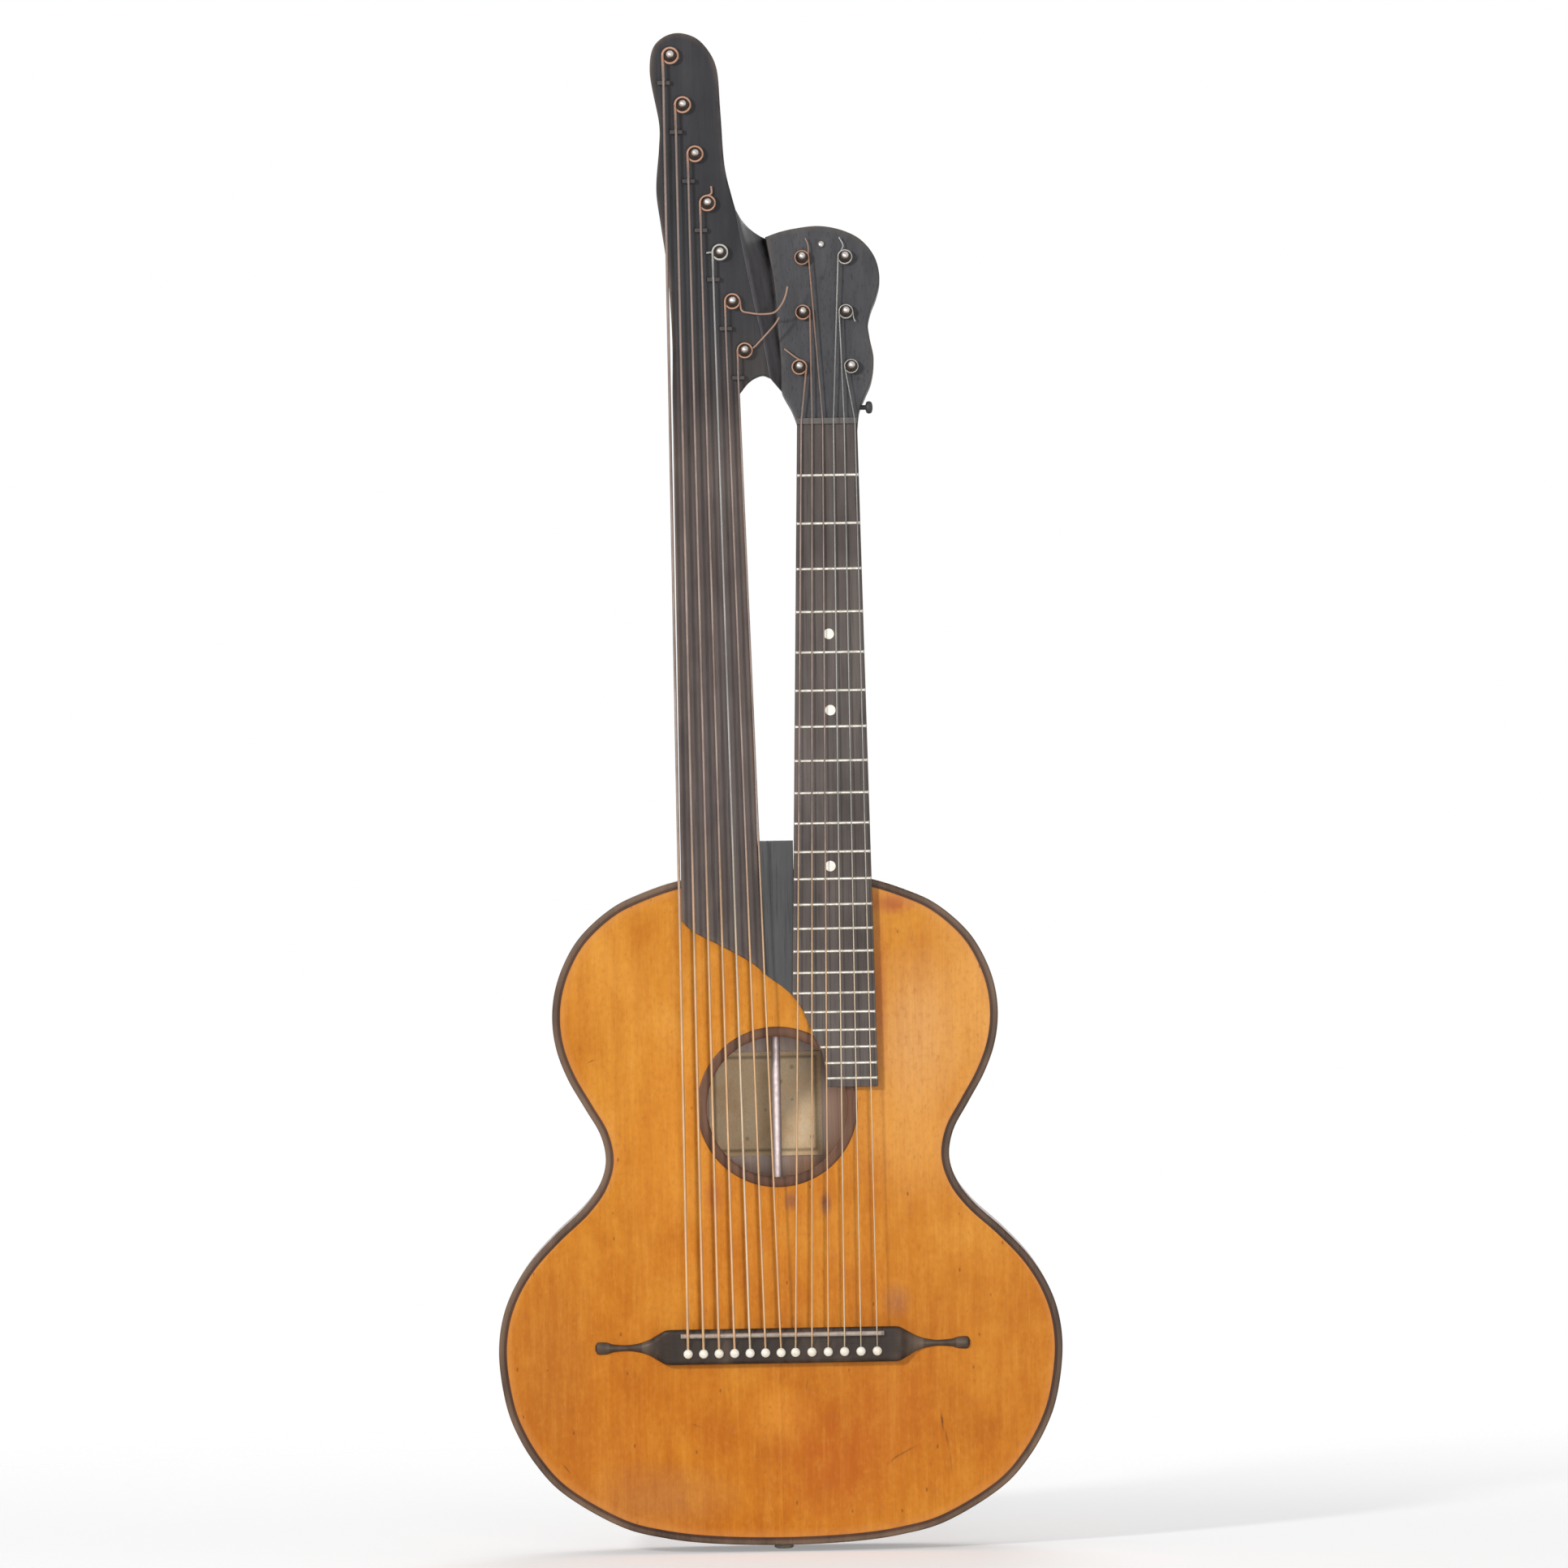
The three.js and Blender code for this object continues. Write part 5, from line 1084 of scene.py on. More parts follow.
# Each rib is a half of the outline, with its linings; the lengths along it are its marks
def make_ribs():
    front = FACE_Y + PLATE_THICKNESS + SEAM
    back = BACK_Y - PLATE_THICKNESS - SEAM
    ledge, slope = LINING_HEIGHT, LINING_HEIGHT + LINING_SLOPE
    section = [
        (0, front), (LINING_WIDTH, front), (LINING_WIDTH, front + ledge), (RIB_THICKNESS, front + slope),
        (RIB_THICKNESS, back - slope), (LINING_WIDTH, back - ledge), (LINING_WIDTH, back), (0, back),
    ]
    inner = [INNER_MARK if distance else 0 for distance, _ in section]
    sides = {distance: inset(OUTLINE, distance) for distance in (0, RIB_THICKNESS, LINING_WIDTH)}
    half = OUTLINE_STEPS // 2
    steps = np.linalg.norm(np.diff(OUTLINE[:half + 1], axis=0), axis=1)
    lengths = np.concatenate([[0], np.cumsum(steps)])
    for name, side in (("rib_treble_side", 1), ("rib_bass_side", -1)):
        rings = []
        for step in range(half + 1):
            around = [(*sides[distance][step], y) for distance, y in section]
            rings.append([(max(x, SEAM) * side, y, z) for x, z, y in around])
        points, faces, _ = loft(rings)
        marks = [length + added for length in lengths for added in inner]
        refine(name, (points, faces, marks), RIB_WOOD)


def edge_strip(outer, inner, y, inwards, edge_round):
    """A strip round the body between two insets, flush at y, its outer edge rounded."""
    far = y + inwards * PLATE_THICKNESS
    edge = [(outer + gone, ring_y, 1) for gone, ring_y in rounded_edge(y, edge_round, inwards)]
    profile = [(inner, y, 0), *edge, (outer, far, STRIP_SIDE_WEAR), (inner, far, 0)]
    rings = [with_depth(inset(OUTLINE, distance), ring_y) for distance, ring_y, _ in profile]
    return loft(rings, [mark for _, _, mark in profile], around=True)


def make_bindings():
    split = BINDING_WIDTH - PURFLING_WIDTH
    for side, y, inwards in (("top", FACE_Y, 1), ("back", BACK_Y, -1)):
        strip = edge_strip(0, split - SEAM, y, inwards, BINDING_ROUND)
        refine(f"{side}_binding", strip, BINDING)
        inner = edge_strip(split, BINDING_WIDTH, y, inwards, SEAM)
        add_piece(f"{side}_purfling", inner, PURFLING)


def make_soundhole_ring():
    inner = RING_RADIUS - RING_WIDTH
    crown = [(inner + RING_WIDTH / 2 * (1 - math.cos(a)), RING_PROUD * math.sin(a) ** RING_FLATNESS)
             for a in np.linspace(0, math.pi, 13)]
    angles = np.linspace(0, 2 * math.pi, 160, endpoint=False)
    rings = []
    for radius, height in ((inner, -PLATE_THICKNESS), *crown, (RING_RADIUS, -PLATE_THICKNESS)):
        circle = np.stack([HOLE_X + np.cos(angles) * radius, HOLE_Z + np.sin(angles) * radius], axis=1)
        rings.append(with_depth(circle, at_height(height)))
    marks = [0] + [RING_WEAR] * len(crown) + [0]
    refine("soundhole_ring", loft(rings, marks, around=True), RING_WOOD)


def make_inside():
    for name in ("neck_block", "tail_block"):
        dress(name, INNER_WOOD)
    rod = box_of("strut_rod")
    line = [(rod.middle.x, rod.middle.y, z) for z in np.linspace(rod.low.z, rod.high.z, 40)]
    refine("strut_rod", tube(line, rod.size.x / 2, 32), ROD_STEEL)
    make_label()


def dress(name, material):
    node = frame["nodes"][name]
    node.data.materials.clear()
    node.data.materials.append(material)


# A sheet with two sides, its upper right corner lifted; its marks are the lines of its border
def make_label():
    label = box_of("label")
    columns, rows = 41, 39
    points, marks = [], []
    for y in (label.low.y, label.low.y + LABEL_THICKNESS):
        for up in np.arange(rows) / (rows - 1):
            for across in np.arange(columns) / (columns - 1):
                lift = LABEL_LIFT * max(0, across - 0.9) * max(0, up - 0.85)
                x, z = label.low.x + label.size.x * across, label.low.z + label.size.z * up
                points.append((x, y - lift, z))
                from_edge = min(across, 1 - across, up * LABEL_SHAPE, (1 - up) * LABEL_SHAPE)
                marks.append(1.0 if BORDER_START < from_edge < BORDER_END else 0.0)
    faces = []
    sheet = columns * rows
    for row in range(rows - 1):
        for column in range(columns - 1):
            a = row * columns + column
            faces.append((a, a + 1, a + columns + 1, a + columns))
            faces.append(tuple(sheet + i for i in (a, a + columns, a + columns + 1, a + 1)))
    rim = [*range(columns), *range(2 * columns - 1, sheet, columns),
           *range(sheet - 2, sheet - columns - 1, -1), *range(sheet - 2 * columns, 0, -columns)]
    for a, b in zip(rim, rim[1:] + rim[:1]):
        faces.append((a, a + sheet, b + sheet, b))
    refine("label", (points, faces, marks), LABEL_PAPER_PAINTED_LIGHT)


def make_end_pin():
    pin = box_of("end_pin")
    radius, top = pin.size.x / 2, pin.high.z
    profile = [(radius * share, BODY_FOOT * up) for share, up in end_pin_shares]
    profile += [(radius * END_PIN_STEM, top), (0, top)]
    shell = moved(turned(profile), Matrix.Rotation(-math.pi / 2, 4, "X"))
    refine("end_pin", shell, BONE)


# The bridge's section goes from oval, at the drawn-out tips, to square, where it is wide
def make_bridge():
    middle, size = BRIDGE_BOX.middle, BRIDGE_BOX.size
    mirrored = [(-x, width, height) for x, width, height in reversed(bridge_shares)]
    angles = np.linspace(0, math.pi, 25)
    sides, tops = np.cos(angles), np.abs(np.sin(angles))
    rings, marks = [], []
    for x, width, height in curve_through([*bridge_shares, *mirrored], 260):
        square = np.clip((width - BRIDGE_TIP) / (1 - BRIDGE_TIP), 0, 1)
        power = 2 / (OVAL_POWER + SQUARE_POWER * square ** 2)
        across = -np.sign(sides) * np.abs(sides) ** power * (width * size.z / 2)
        up = tops ** power * (height * BRIDGE_TOP)
        place = middle.x + x * size.x / 2
        rings.append([(place, at_height(u), middle.z + a) for a, u in zip(across, up)])
        # The shoulders get a higher mark: their pale colour is wear and a painted highlight on the bevels
        marks.append(TIP_WEAR_AND_HIGHLIGHT if BRIDGE_TIP < width < BRIDGE_BLOCK else BLOCK_WEAR)
    refine("bridge", loft(rings, marks), BRIDGE_WOOD)


def make_saddle():
    low, high = SADDLE_BOX.low, SADDLE_BOX.high
    half = SADDLE_BOX.size.z / 2
    rise = half * SADDLE_CROWN
    stations = []
    for x in np.linspace(low.x, high.x, 60):
        from_end = min(x - low.x, high.x - x)
        top = SADDLE_TOP - SADDLE_END_ROUND * max(0, 1 - from_end / SADDLE_END_ROUND) ** 2
        stations.append((x, top - rise, rise))
    shell = ridge_bar(stations, SADDLE_Z, half, half, BRIDGE_TOP - SADDLE_SUNK, 13)
    refine("saddle", shell, GREY_BONE)


def make_pins():
    profile = [(PIN_HEAD_RADIUS * share, height) for share, height in pin_profile]
    profile += arc_profile(PIN_HEAD_RADIUS, PIN_WIDEST, PIN_HEAD_HEIGHT, 12)
    for index in range(BASS_COUNT + MAIN_COUNT):
        x, z = pin_place(index)
        place = Matrix.Translation((x, at_height(BRIDGE_TOP), z))
        refine(f"bridge_pin_{index + 1}", moved(turned(profile, 40), place), BONE)


def pin_place(index):
    middle = box_of(f"bridge_pin_{index + 1}").middle
    return middle.x, middle.z


# Shoulder's lower edge, and the edges of board and arm at one height
def shoulder_edge():
    points = placed(shoulder_shares, ARM_LEFT_X, SHOULDER_WIDTH, SHOULDER_TOP, -SHOULDER_HEIGHT)
    return curve_through(points, 640)


def board_edges(z):
    share = (NUT_Z - z) / BOARD_LENGTH
    middle = BOARD_NUT_X + (BOARD_END_X - BOARD_NUT_X) * share
    width = BOARD_NUT_WIDTH + (BOARD_END_WIDTH - BOARD_NUT_WIDTH) * share
    return middle - width / 2, middle + width / 2


def arm_right_edge(z):
    share = (z - BODY_TOP) / (BASS_HEAD_Z - BODY_TOP)
    return ARM_LEFT_X + ARM_FOOT_WIDTH + (ARM_HEAD_WIDTH - ARM_FOOT_WIDTH) * min(share, 1)


def plate_edge(z):
    lean = max(0, BODY_TOP - z) / SHOULDER_HEIGHT
    return arm_right_edge(max(z, BODY_TOP)) + lean * PLATE_EDGE_LEAN


def beside_arm(z):
    return plate_edge(z) + BESIDE_ARM


def make_fingerboard():
    edge = shoulder_edge()
    on_board = [(x, z) for x, z in edge if x > board_edges(z)[0] and z > BOARD_END_Z]
    nut_left, nut_right = board_edges(NUT_Z)
    left = evenly([(nut_left, NUT_Z), on_board[0]], 60)
    right = evenly([(board_edges(BOARD_END_Z)[1], BOARD_END_Z), (nut_right, NUT_Z)], 60)
    outline = [*left, *on_board[1:], (on_board[-1][0], BOARD_END_Z), *right]
    slab = rounded_slab(outline, at_height(BOARD_TOP), at_height(BOARD_UNDERSIDE), FINE_ROUND,
                        BOARD_BACK_ROUND, BOARD_BAND)
    refine("fingerboard", slab, BOARD_WOOD)
    frets = []
    for fret in range(1, FRET_COUNT + 1):
        z = NUT_Z - SCALE_LENGTH * (1 - 2 ** (-fret / FRETS_PER_OCTAVE))
        start, end = board_edges(z)
        if z < edge[0][1]:
            start = max(start, np.interp(-z, -edge[:, 1], edge[:, 0]))
        frets.append(fret_bar(start + FRET_INSET, end - FRET_INSET, z))
    add_piece("frets", join(*frets), FRET_STEEL)
    profile = [(DOT_RADIUS * share, height) for share, height in dot_profile]
    dot = turned(profile, 40)
    places = [Matrix.Translation((x, at_height(BOARD_TOP), z)) for x, z in DOT_PLACES]
    add_piece("position_dots", join(*[moved(dot, place) for place in places]), BONE)
    nut = bar(nut_left, nut_right, BOARD_UNDERSIDE, NUT_TOP, NUT_Z + SEAM, NUT_Z + NUT_THICKNESS, NUT_ROUND)
    refine("nut", nut, NUT_WOOD)


def fret_bar(start, end, z):
    stations = [(start + step, BOARD_TOP, FRET_HEIGHT * tall) for step, tall in fret_end_shape]
    stations += [(end - step, BOARD_TOP, FRET_HEIGHT * tall) for step, tall in reversed(fret_end_shape)]
    return ridge_bar(stations, z, FRET_WIDTH / 2, FRET_WIDTH / 4, BOARD_TOP - FRET_HEIGHT, 9)


# A flat-fronted section at one height of an arm or neck; its back is the squarer the greater the power
def round_back(left, right, front, depth, taper, z, power):
    middle, half = (left + right) / 2, (right - left) / 2
    ring = []
    for angle in np.linspace(0, math.pi, 33):
        across = np.sign(np.cos(angle)) * abs(np.cos(angle)) ** (2 / power)
        deep = abs(np.sin(angle)) ** (2 / power)
        ring.append((middle + across * half * (1 - deep * taper), at_height(front - deep * depth), z))
    return ring


# How far a shaft has turned from a round back to a square one: 0 well below its head, 1 from z on
def near_head(z, full):
    share = min(max((z - full + SQUARING_LENGTH) / SQUARING_LENGTH, 0), 1)
    return share * share * (3 - 2 * share)


HEAD_FRAME = Matrix.Translation((0, at_height(HEAD_FACE), NUT_Z)) @ Matrix.Rotation(-HEAD_TILT, 4, "X")


def head_face_height(z):
    return HEAD_FACE - (z - NUT_Z) * math.tan(HEAD_TILT)


def make_neck():
    heel_foot = BODY_TOP - LINING_WIDTH
    stations = [(heel_foot + rise * HEEL_HEIGHT, HEEL_DEPTH * deep, taper)
                for rise, deep, taper in heel_shares]
    stations += [(heel_foot + HEEL_HEIGHT, NECK_DEPTH * 1.1, 0.0), (NUT_Z - NECK_EVEN_END, NECK_DEPTH, 0.0)]
    stations = [*curve_through(stations, 90)]
    run_in = np.linspace(-NECK_FINE_START, NECK_RUN_IN, 36)
    stations += [(NUT_Z + step, NECK_DEPTH, 0.0) for step in run_in]
    rings = []
    for z, depth, taper in stations:
        left, right = board_edges(min(z, NUT_Z))
        drop = max(0, z - NUT_Z) * math.tan(HEAD_TILT) * 1.2
        front = BOARD_UNDERSIDE - SEAM - drop
        near = near_head(z, NUT_Z - NECK_SQUARE_BELOW)
        side = NECK_INSET * (1 - near)
        power = ROUND_POWER + NECK_SQUARING * near
        left, right = left + side, right - side
        rings.append(round_back(left, right, front, depth - drop, max(taper, 0), z, power))
    left_side = curve_through(on_main_head(head_left_shares), 90)
    round_side = curve_through(on_main_head(head_round_shares), 200)
    outline = np.array([*left_side[:-1], *round_side])
    head = moved(rounded_slab(outline, 0, HEAD_THICKNESS, FACE_ROUND, HEAD_BACK_ROUND), HEAD_FRAME)
    add_piece("neck_and_head", join(loft(rings), head), HEAD_WOOD, ["neck"])


def make_head_pin():
    pin = box_of("head_pin")
    radius = pin.size.x / 2
    profile = [(radius * share, height) for share, height in head_pin_profile]
    profile += arc_profile(radius, HEAD_PIN_WIDEST, HEAD_PIN_HEIGHT)
    place = HEAD_FRAME @ Matrix.Translation((pin.middle.x, 0, HEAD_LENGTH * HEAD_PIN_UP))
    refine("head_pin", moved(turned(profile, 32), place), STEEL)


def make_strap_knob():
    knob = box_of("strap_knob")
    length, radius = knob.size.x, STRAP_KNOB_RADIUS
    profile = [(0, 0), (STRAP_STEM_RADIUS, 0), (STRAP_STEM_RADIUS, length - STRAP_CAP_HEIGHT)]
    profile += [(radius * share, length - below) for share, below in strap_cap_profile]
    profile += arc_profile(radius * 0.94, length - STRAP_CROWN, length)
    sideways = Matrix.Rotation(math.pi / 2, 4, "Z")
    place = Matrix.Translation((knob.low.x, knob.middle.y, knob.middle.z)) @ sideways
    refine("strap_knob", moved(turned(profile, 40), place), HEAD_WOOD)


# The arm is its face, the head's plank behind that and the shaft, which runs up into the plank
def make_arm():
    left_side = curve_through(on_bass_head(bass_left_shares), 260)
    right_side = on_bass_head(bass_right_shares)
    ridge, notch = curve_through(right_side[:3], 40), curve_through(right_side[2:], 30)
    head = [*left_side, *ridge[1:], *notch[1:]]
    on_arm = [(x, z) for x, z in shoulder_edge() if x < plate_edge(z)]
    down = [(arm_right_edge(z), z) for z in np.linspace(FLARE_Z, BODY_TOP, 40)]
    down += [(plate_edge(z), z) for z in np.linspace(BODY_TOP, BODY_TOP - ARM_PLATE_REACH, 30)[1:]]
    down = [point for point in down if point[1] > on_arm[-1][1]]
    up_left = [(ARM_LEFT_X, z) for z in np.linspace(on_arm[0][1], BASS_HEAD_Z, 60)]
    outline = [*on_arm[::-1][:-1], *up_left[:-1], *head, *down]
    face = rounded_slab(outline, at_height(ARM_FACE), at_height(SEAM), FACE_ROUND, HIDDEN_ROUND)
    corners = [(arm_right_edge(FLARE_Z) - PLANK_CORNER, FLARE_Z), (ARM_LEFT_X + PLANK_CORNER, FLARE_Z)]
    plank = rounded_slab([*head, *corners], at_height(ARM_FACE - PLANK_SUNK),
                         at_height(ARM_FACE - ARM_THICKNESS), HIDDEN_ROUND, PLANK_BACK_ROUND, PLANK_BAND)
    add_piece("bass_arm_and_head", join(face, plank, arm_shaft()), ARM_WOOD, ["bass_arm"])


def arm_shaft():
    stations = [(BODY_TOP - LINING_WIDTH * 2 + rise * ARM_FOOT_HEIGHT, depth, ARM_FOOT_TAPER)
                for rise, depth in arm_foot_shape]
    even_part = BODY_TOP + ARM_FOOT_HEIGHT * 1.4, FLARE_Z - ARM_EVEN_END
    stations += [(z, ARM_THICKNESS, ARM_TAPER) for z in even_part]
    stations = [*curve_through(stations, 90)]
    run_in = np.linspace(FLARE_Z - ARM_FINE_START, FLARE_Z + ARM_RUN_IN, 40)
    stations += [(z, ARM_THICKNESS, ARM_TAPER) for z in run_in]
    rings = []
    for z, depth, taper in stations:
        near = near_head(z, FLARE_Z)
        side = NECK_INSET * (1 - near)
        dive = max(0, z - FLARE_Z - DIVE_START) * DIVE_SLOPE
        left, right = ARM_LEFT_X + side + dive, arm_right_edge(z) - side - dive
        front, deep = ARM_FACE - ARM_UNDER_FACE, depth - ARM_UNDER_FACE - dive
        power = ROUND_POWER + ARM_SQUARING * near
        rings.append(round_back(left, right, front, deep, taper * (1 - near), z, power))
    return loft(rings)


def make_web():
    ridge = curve_through(on_bass_head(ridge_shares), 60)
    groove = curve_through(on_bass_head(groove_shares), 60)
    cove = curve_through(cove_shares, 20)
    arm_back = ARM_FACE - ARM_THICKNESS
    head_back = HEAD_THICKNESS / math.cos(HEAD_TILT)
    rings = []
    for step, (start, end) in enumerate(zip(ridge, groove)):
        foot = head_face_height(end[1])
        drop = foot - GROOVE_DEPTH - ARM_FACE
        reach = (end - start) * (1 + WEB_OVERLAP / np.linalg.norm(end - start))
        sag = WEB_SAG * max(0, step / len(ridge) * 4 - 3)
        side = np.array([reach[1], -reach[0]]) / np.linalg.norm(reach) * sag * 4
        front = [(*bowed(start, reach, side, across), ARM_FACE + drop * down) for across, down in cove]
        rise = foot - head_back - arm_back
        back = [(*bowed(start, reach, side, across), arm_back + rise * across + WEB_OVERLAP)
                for across in np.linspace(1, 0, 12)]
        buried = [(start[0] - WEB_BURIED_X, start[1] + WEB_BURIED_Z, height)
                  for height in (arm_back + WEB_BURIED_Y, ARM_FACE - WEB_BURIED_Y)]
        rings.append([(x, at_height(height), z) for x, z, height in front + back + buried])
    points, faces, _ = loft(rings)
    # The marks rise towards the groove, where they lay the web's painted shade
    groove_shade = [max(0, across - GROOVE_SHADE_START) * GROOVE_SHADE_RISE for across, _ in cove]
    groove_shade += [0] * (len(rings[0]) - len(cove))
    add_piece("head_web", (points, faces, groove_shade * len(rings)), WEB_WOOD_PAINTED_LIGHT_AND_SHADE)


def bowed(start, reach, side, across):
    return start + reach * across + side * across * (1 - across)


def make_bass_nuts():
    half, thick = BASS_NUT_WIDTH / 2, BASS_NUT_THICKNESS / 2
    nuts = []
    for index in range(BASS_COUNT):
        x, z, top = bass_nut_place(index)
        low, foot = ARM_FACE - BASS_NUT_SUNK, z - thick
        nuts.append(bar(x - half, x + half, low, top, foot, z + thick, BASS_NUT_ROUND))
    add_piece("bass_nuts", join(*nuts), BASS_NUT_WOOD)


def bass_nut_place(index):
    place, _ = tuner_place(f"bass_tuner_{index + 1}")
    return place.x - BASS_NUT_LEFT, place.z - BASS_NUT_BELOW, ARM_FACE + BASS_NUT_HEIGHT


# The plate lies on the body beside the arm; its block goes down between arm and neck, over the body's top
def make_shoulder():
    top, foot = BODY_TOP + SHOULDER_RISE, BODY_TOP - LINING_WIDTH
    block_foot = BODY_TOP - BLOCK_OVER_BODY
    neck_side = board_edges(top)[0] + NECK_INSET - BESIDE_NECK
    under_board = board_edges(BODY_TOP)[0] + UNDER_BOARD
    beside = [(x, z) for x, z in shoulder_edge() if beside_arm(z) < x < under_board]
    left = [(beside_arm(z), z) for z in np.linspace(top, beside[0][1], 60)]
    outline = [*left[:-1], *beside, (under_board, foot), (neck_side, foot), (neck_side, top)]
    plate = rounded_slab(outline, at_height(BOARD_UNDERSIDE - PLATE_BELOW_BOARD), at_height(SEAM),
                         FINE_ROUND, SHOULDER_LOWER_ROUND, SHOULDER_BAND)
    arm_side = beside_arm(top)
    corners = [(arm_side, block_foot), (neck_side, block_foot), (neck_side, top), (arm_side, top)]
    block = rounded_slab(corners, at_height(BOARD_UNDERSIDE - BLOCK_BELOW_BOARD), at_height(-SHOULDER_DEPTH),
                         FINE_ROUND, SHOULDER_BACK_ROUND, SHOULDER_BAND)
    refine("shoulder_plate", join(plate, block), SHOULDER_WOOD)


# Tuners: each has a frame on its head's face, whose local -Y points away from the face
def tuner_place(name):
    joint = next(joint for joint in frame["joints"] if joint["child"] == name)
    place = Vector(joint["pos_m"])
    lean = math.asin(joint["axis"][2])
    return place, Matrix.Translation(place) @ Matrix.Rotation(-lean, 4, "X")


def make_tuner(name, thickness):
    _, place = tuner_place(name)
    front = -thickness - KNOB_STANDOFF
    end = POST_BARREL + POST_TIP_LENGTH
    profile = [(0, front), (POST_RADIUS, front), *post_profile]
    profile += arc_profile(POST_TIP_RADIUS, end - POST_TIP_RADIUS * 0.95, end, 12)
    points, faces, _ = turned(profile, 40)
    # Only the tip is polished; below it the post is dark, as tarnish and painted shade
    polish = [1.0 if -y > POST_BARREL + POLISH_START else 0.0 for _, y, _ in points]
    add_piece(f"{name}_post", moved((points, faces, polish), place), POST_STEEL, [name], name)
    middle = front - KNOB_THICKNESS / 2
    rim = [(KNOB_RADIUS * math.sin(a) ** KNOB_BULGE, middle + KNOB_THICKNESS / 2 * math.cos(a))
           for a in np.linspace(0, math.pi, 17)]
    rim[0], rim[-1] = (0, front), (0, front - KNOB_THICKNESS)
    knob = moved(turned(rim, 48), place @ Matrix.Diagonal((1, 1, KNOB_FLATNESS, 1)))
    add_piece(f"{name}_knob", knob, KNOB_WOOD, body=name)


# The turns round a post, side by side down towards the face, and the loose end; leaves is 1 or -1, the side
# of the post that the string comes from
def winding_path(diameter, turns, leaves, tail):
    radius = POST_RADIUS + WIND_CLEARANCE + diameter / 2
    steps = round(turns * LOOP_STEPS)
    start = math.pi if leaves < 0 else 0
    points = []
    for step in range(steps + 1):
        turn = turns * step / steps
        angle = start + leaves * turn * 2 * math.pi
        height = WIND_START - diameter * WIND_PITCH * turn
        points.append((math.cos(angle) * radius, -height, math.sin(angle) * radius))
    end, before = Vector(points[-1]), Vector(points[-2])
    stub = end + (end - before).normalized() * diameter
    if not tail:
        return [*points, tuple(stub)]
    route = [(x * POST_RADIUS * 2, end.y, z * POST_RADIUS * 2) for x, z in tail]
    loose = curve_through([tuple(end), tuple(stub), *route], 16 * (len(route) + 1))
    return [*points, *map(tuple, loose[1:])]


def softened(path, corners):
    """The path with its named corners replaced by short curves."""
    soft = []
    for index, point in enumerate(path):
        if index not in corners:
            soft.append(point)
            continue
        before = point + (path[index - 1] - point).normalized() * CORNER_REACH
        after = point + (path[index + 1] - point).normalized() * CORNER_REACH
        for t in np.linspace(0, 1, 7):
            soft.append(before * (1 - t) ** 2 + point * 2 * t * (1 - t) + after * t * t)
    return soft


# From the pin over saddle and nut to the post; the length along the string is its mark
def make_string(name, tuner, diameter, pin, nut, turns, leaves, tail, material, slot):
    _, place = tuner_place(tuner)
    pin_x, pin_z = pin_place(pin)
    lift = diameter / 2
    nut_x, nut_z, nut_top = nut
    saddle_x = pin_x + (nut_x - pin_x) * (SADDLE_Z - pin_z) / (nut_z - pin_z)
    start_z = pin_z + PIN_HEAD_RADIUS + STRING_FOOT_GAP
    winding = [place @ Vector(point) for point in winding_path(diameter, turns, leaves, tail)]
    path = [
        Vector((pin_x, at_height(BRIDGE_TOP + lift), start_z)),
        Vector((saddle_x, at_height(SADDLE_TOP + lift * 0.9), SADDLE_Z)),
        Vector((nut_x, at_height(nut_top + lift * 0.9), nut_z)),
        *winding,
    ]
    soft = softened(path, (1, 2))
    points, faces, marks = tube(soft, lift)
    a_ring = len(marks) // len(soft)
    first = (len(soft) - len(winding)) * a_ring
    last = first + (round(turns * LOOP_STEPS) + 1) * a_ring
    added = [0] * first + [WINDING_MARK] * (last - first) + [LOOSE_END_MARK] * (len(marks) - last)
    refine(name, (points, faces, [mark + more for mark, more in zip(marks, added)]), material)


def make_strings():
    copper, silver = (COPPER, "copper_wire"), (SILVER, "silver_wire")
    for index, diameter in enumerate(BASS_DIAMETERS):
        tuner = f"bass_tuner_{index + 1}"
        wire = silver if index == SILVER_BASS else copper
        make_string(f"bass_string_{index + 1}", tuner, diameter, index, bass_nut_place(index),
                    bass_turn_shares[index], -1, bass_tail_shares[index], *wire)
        make_tuner(tuner, ARM_THICKNESS)
    for index, diameter in enumerate(MAIN_DIAMETERS):
        tuner = f"main_tuner_{index + 1}"
        nut = (NUT_STRING_X + index * NUT_STRING_SPACING, NUT_Z + NUT_THICKNESS / 2, NUT_TOP)
        leaves, wire = (1, copper) if index < MAIN_COUNT / 2 else (-1, silver)
        make_string(f"main_string_{index + 1}", tuner, diameter, BASS_COUNT + index, nut,
                    main_turn_shares[index], leaves, main_tail_shares[index], *wire)
        make_tuner(tuner, HEAD_THICKNESS)


# Studio: a pale floor that fades into a white surround, and soft light
WORLD_LIGHT = 0.3
FLOOR_RADIUS = 1.6
FLOOR_GLOW = 0.3

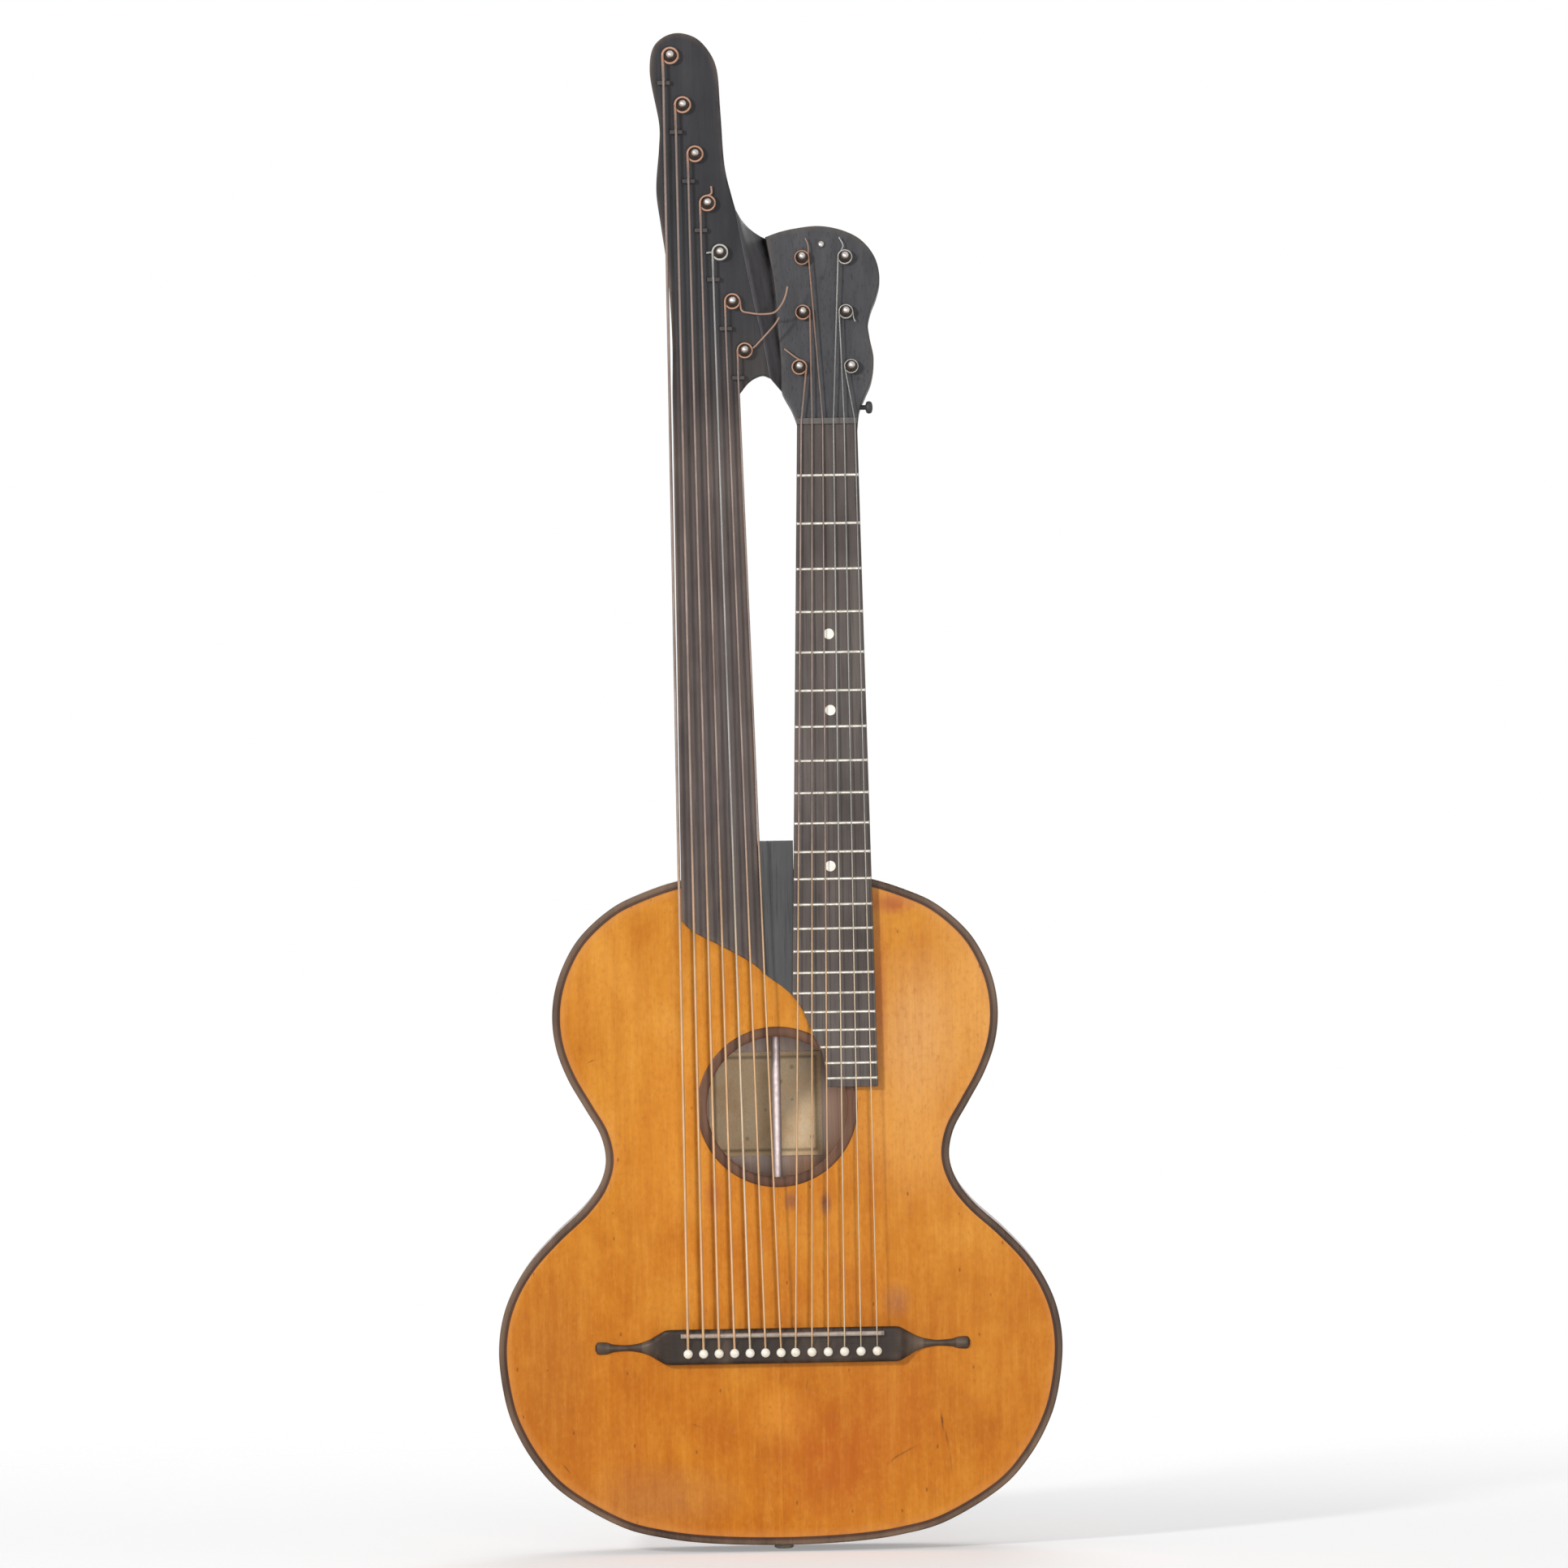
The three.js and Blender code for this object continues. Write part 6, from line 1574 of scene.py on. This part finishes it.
# Each lamp's place, what it points at, its size and its power in watts
LAMPS = {
    "key_light": ((-1.85, -2.9, 1.5), (0, 0, 0.5), 0.42, 65),
    "fill_light": ((0.4, -2.95, 0.42), (0, 0, 0.42), 1.0, 24),
    "back_light": ((0.3, 2.4, 1.8), (0, 0, 0.5), 1.6, 26),
}


# The surround is white where it is seen, also in a reflection, and lights the part less than it shows
def make_studio():
    world = bpy.data.worlds.new("studio")
    bpy.context.scene.world = world
    world.use_nodes = True
    surround = Nodes(world.node_tree)
    path = surround.add("LightPath", {})
    through = surround.calc("ADD", path["Is Transmission Ray"], path["Is Glossy Ray"])
    seen = surround.calc("ADD", path["Is Camera Ray"], through, clamp=True)
    background = surround.nodes["Background"].inputs
    surround.put(surround.remap(seen, 0, 1, WORLD_LIGHT, 1), background["Strength"])
    background["Color"].default_value = (1, 1, 1, 1)
    for name, (place, target, size, power) in LAMPS.items():
        data = bpy.data.lights.new(name, "AREA")
        data.shape = "DISK"
        data.size = size
        data.energy = power
        in_scene(name, data, place, (Vector(target) - Vector(place)).to_track_quat("-Z", "Y"))
    make_floor()


def make_floor():
    angles = np.linspace(0, 2 * math.pi, 96, endpoint=False)
    mesh = bpy.data.meshes.new("floor")
    corners = [(math.cos(a) * FLOOR_RADIUS, math.sin(a) * FLOOR_RADIUS, 0) for a in angles]
    mesh.from_pydata(corners, [], [tuple(range(len(corners)))])
    floor = in_scene("floor", mesh)
    finish = Finish("floor_paint", roughness=0.9)
    finish.shader["Base Color"].default_value = (0.85, 0.85, 0.85, 1)
    finish.shader["Emission Color"].default_value = (1, 1, 1, 1)
    seen = finish.add("LightPath", {})["Is Camera Ray"]
    finish.put(finish.calc("MULTIPLY", seen, FLOOR_GLOW), finish.shader["Emission Strength"])
    fade = finish.remap(finish.length(finish.place), FLOOR_RADIUS, FLOOR_RADIUS * 0.3)
    finish.put(fade, finish.shader["Alpha"])
    mesh.materials.append(finish.material)


bpy.context.scene.view_settings.view_transform = "Standard"
make_camera()
make_studio()
make_soundboard()
make_back()
make_ribs()
make_bindings()
make_soundhole_ring()
make_inside()
make_end_pin()
make_bridge()
make_saddle()
make_pins()
make_neck()
make_head_pin()
make_strap_knob()
make_fingerboard()
make_arm()
make_web()
make_bass_nuts()
make_shoulder()
make_strings()
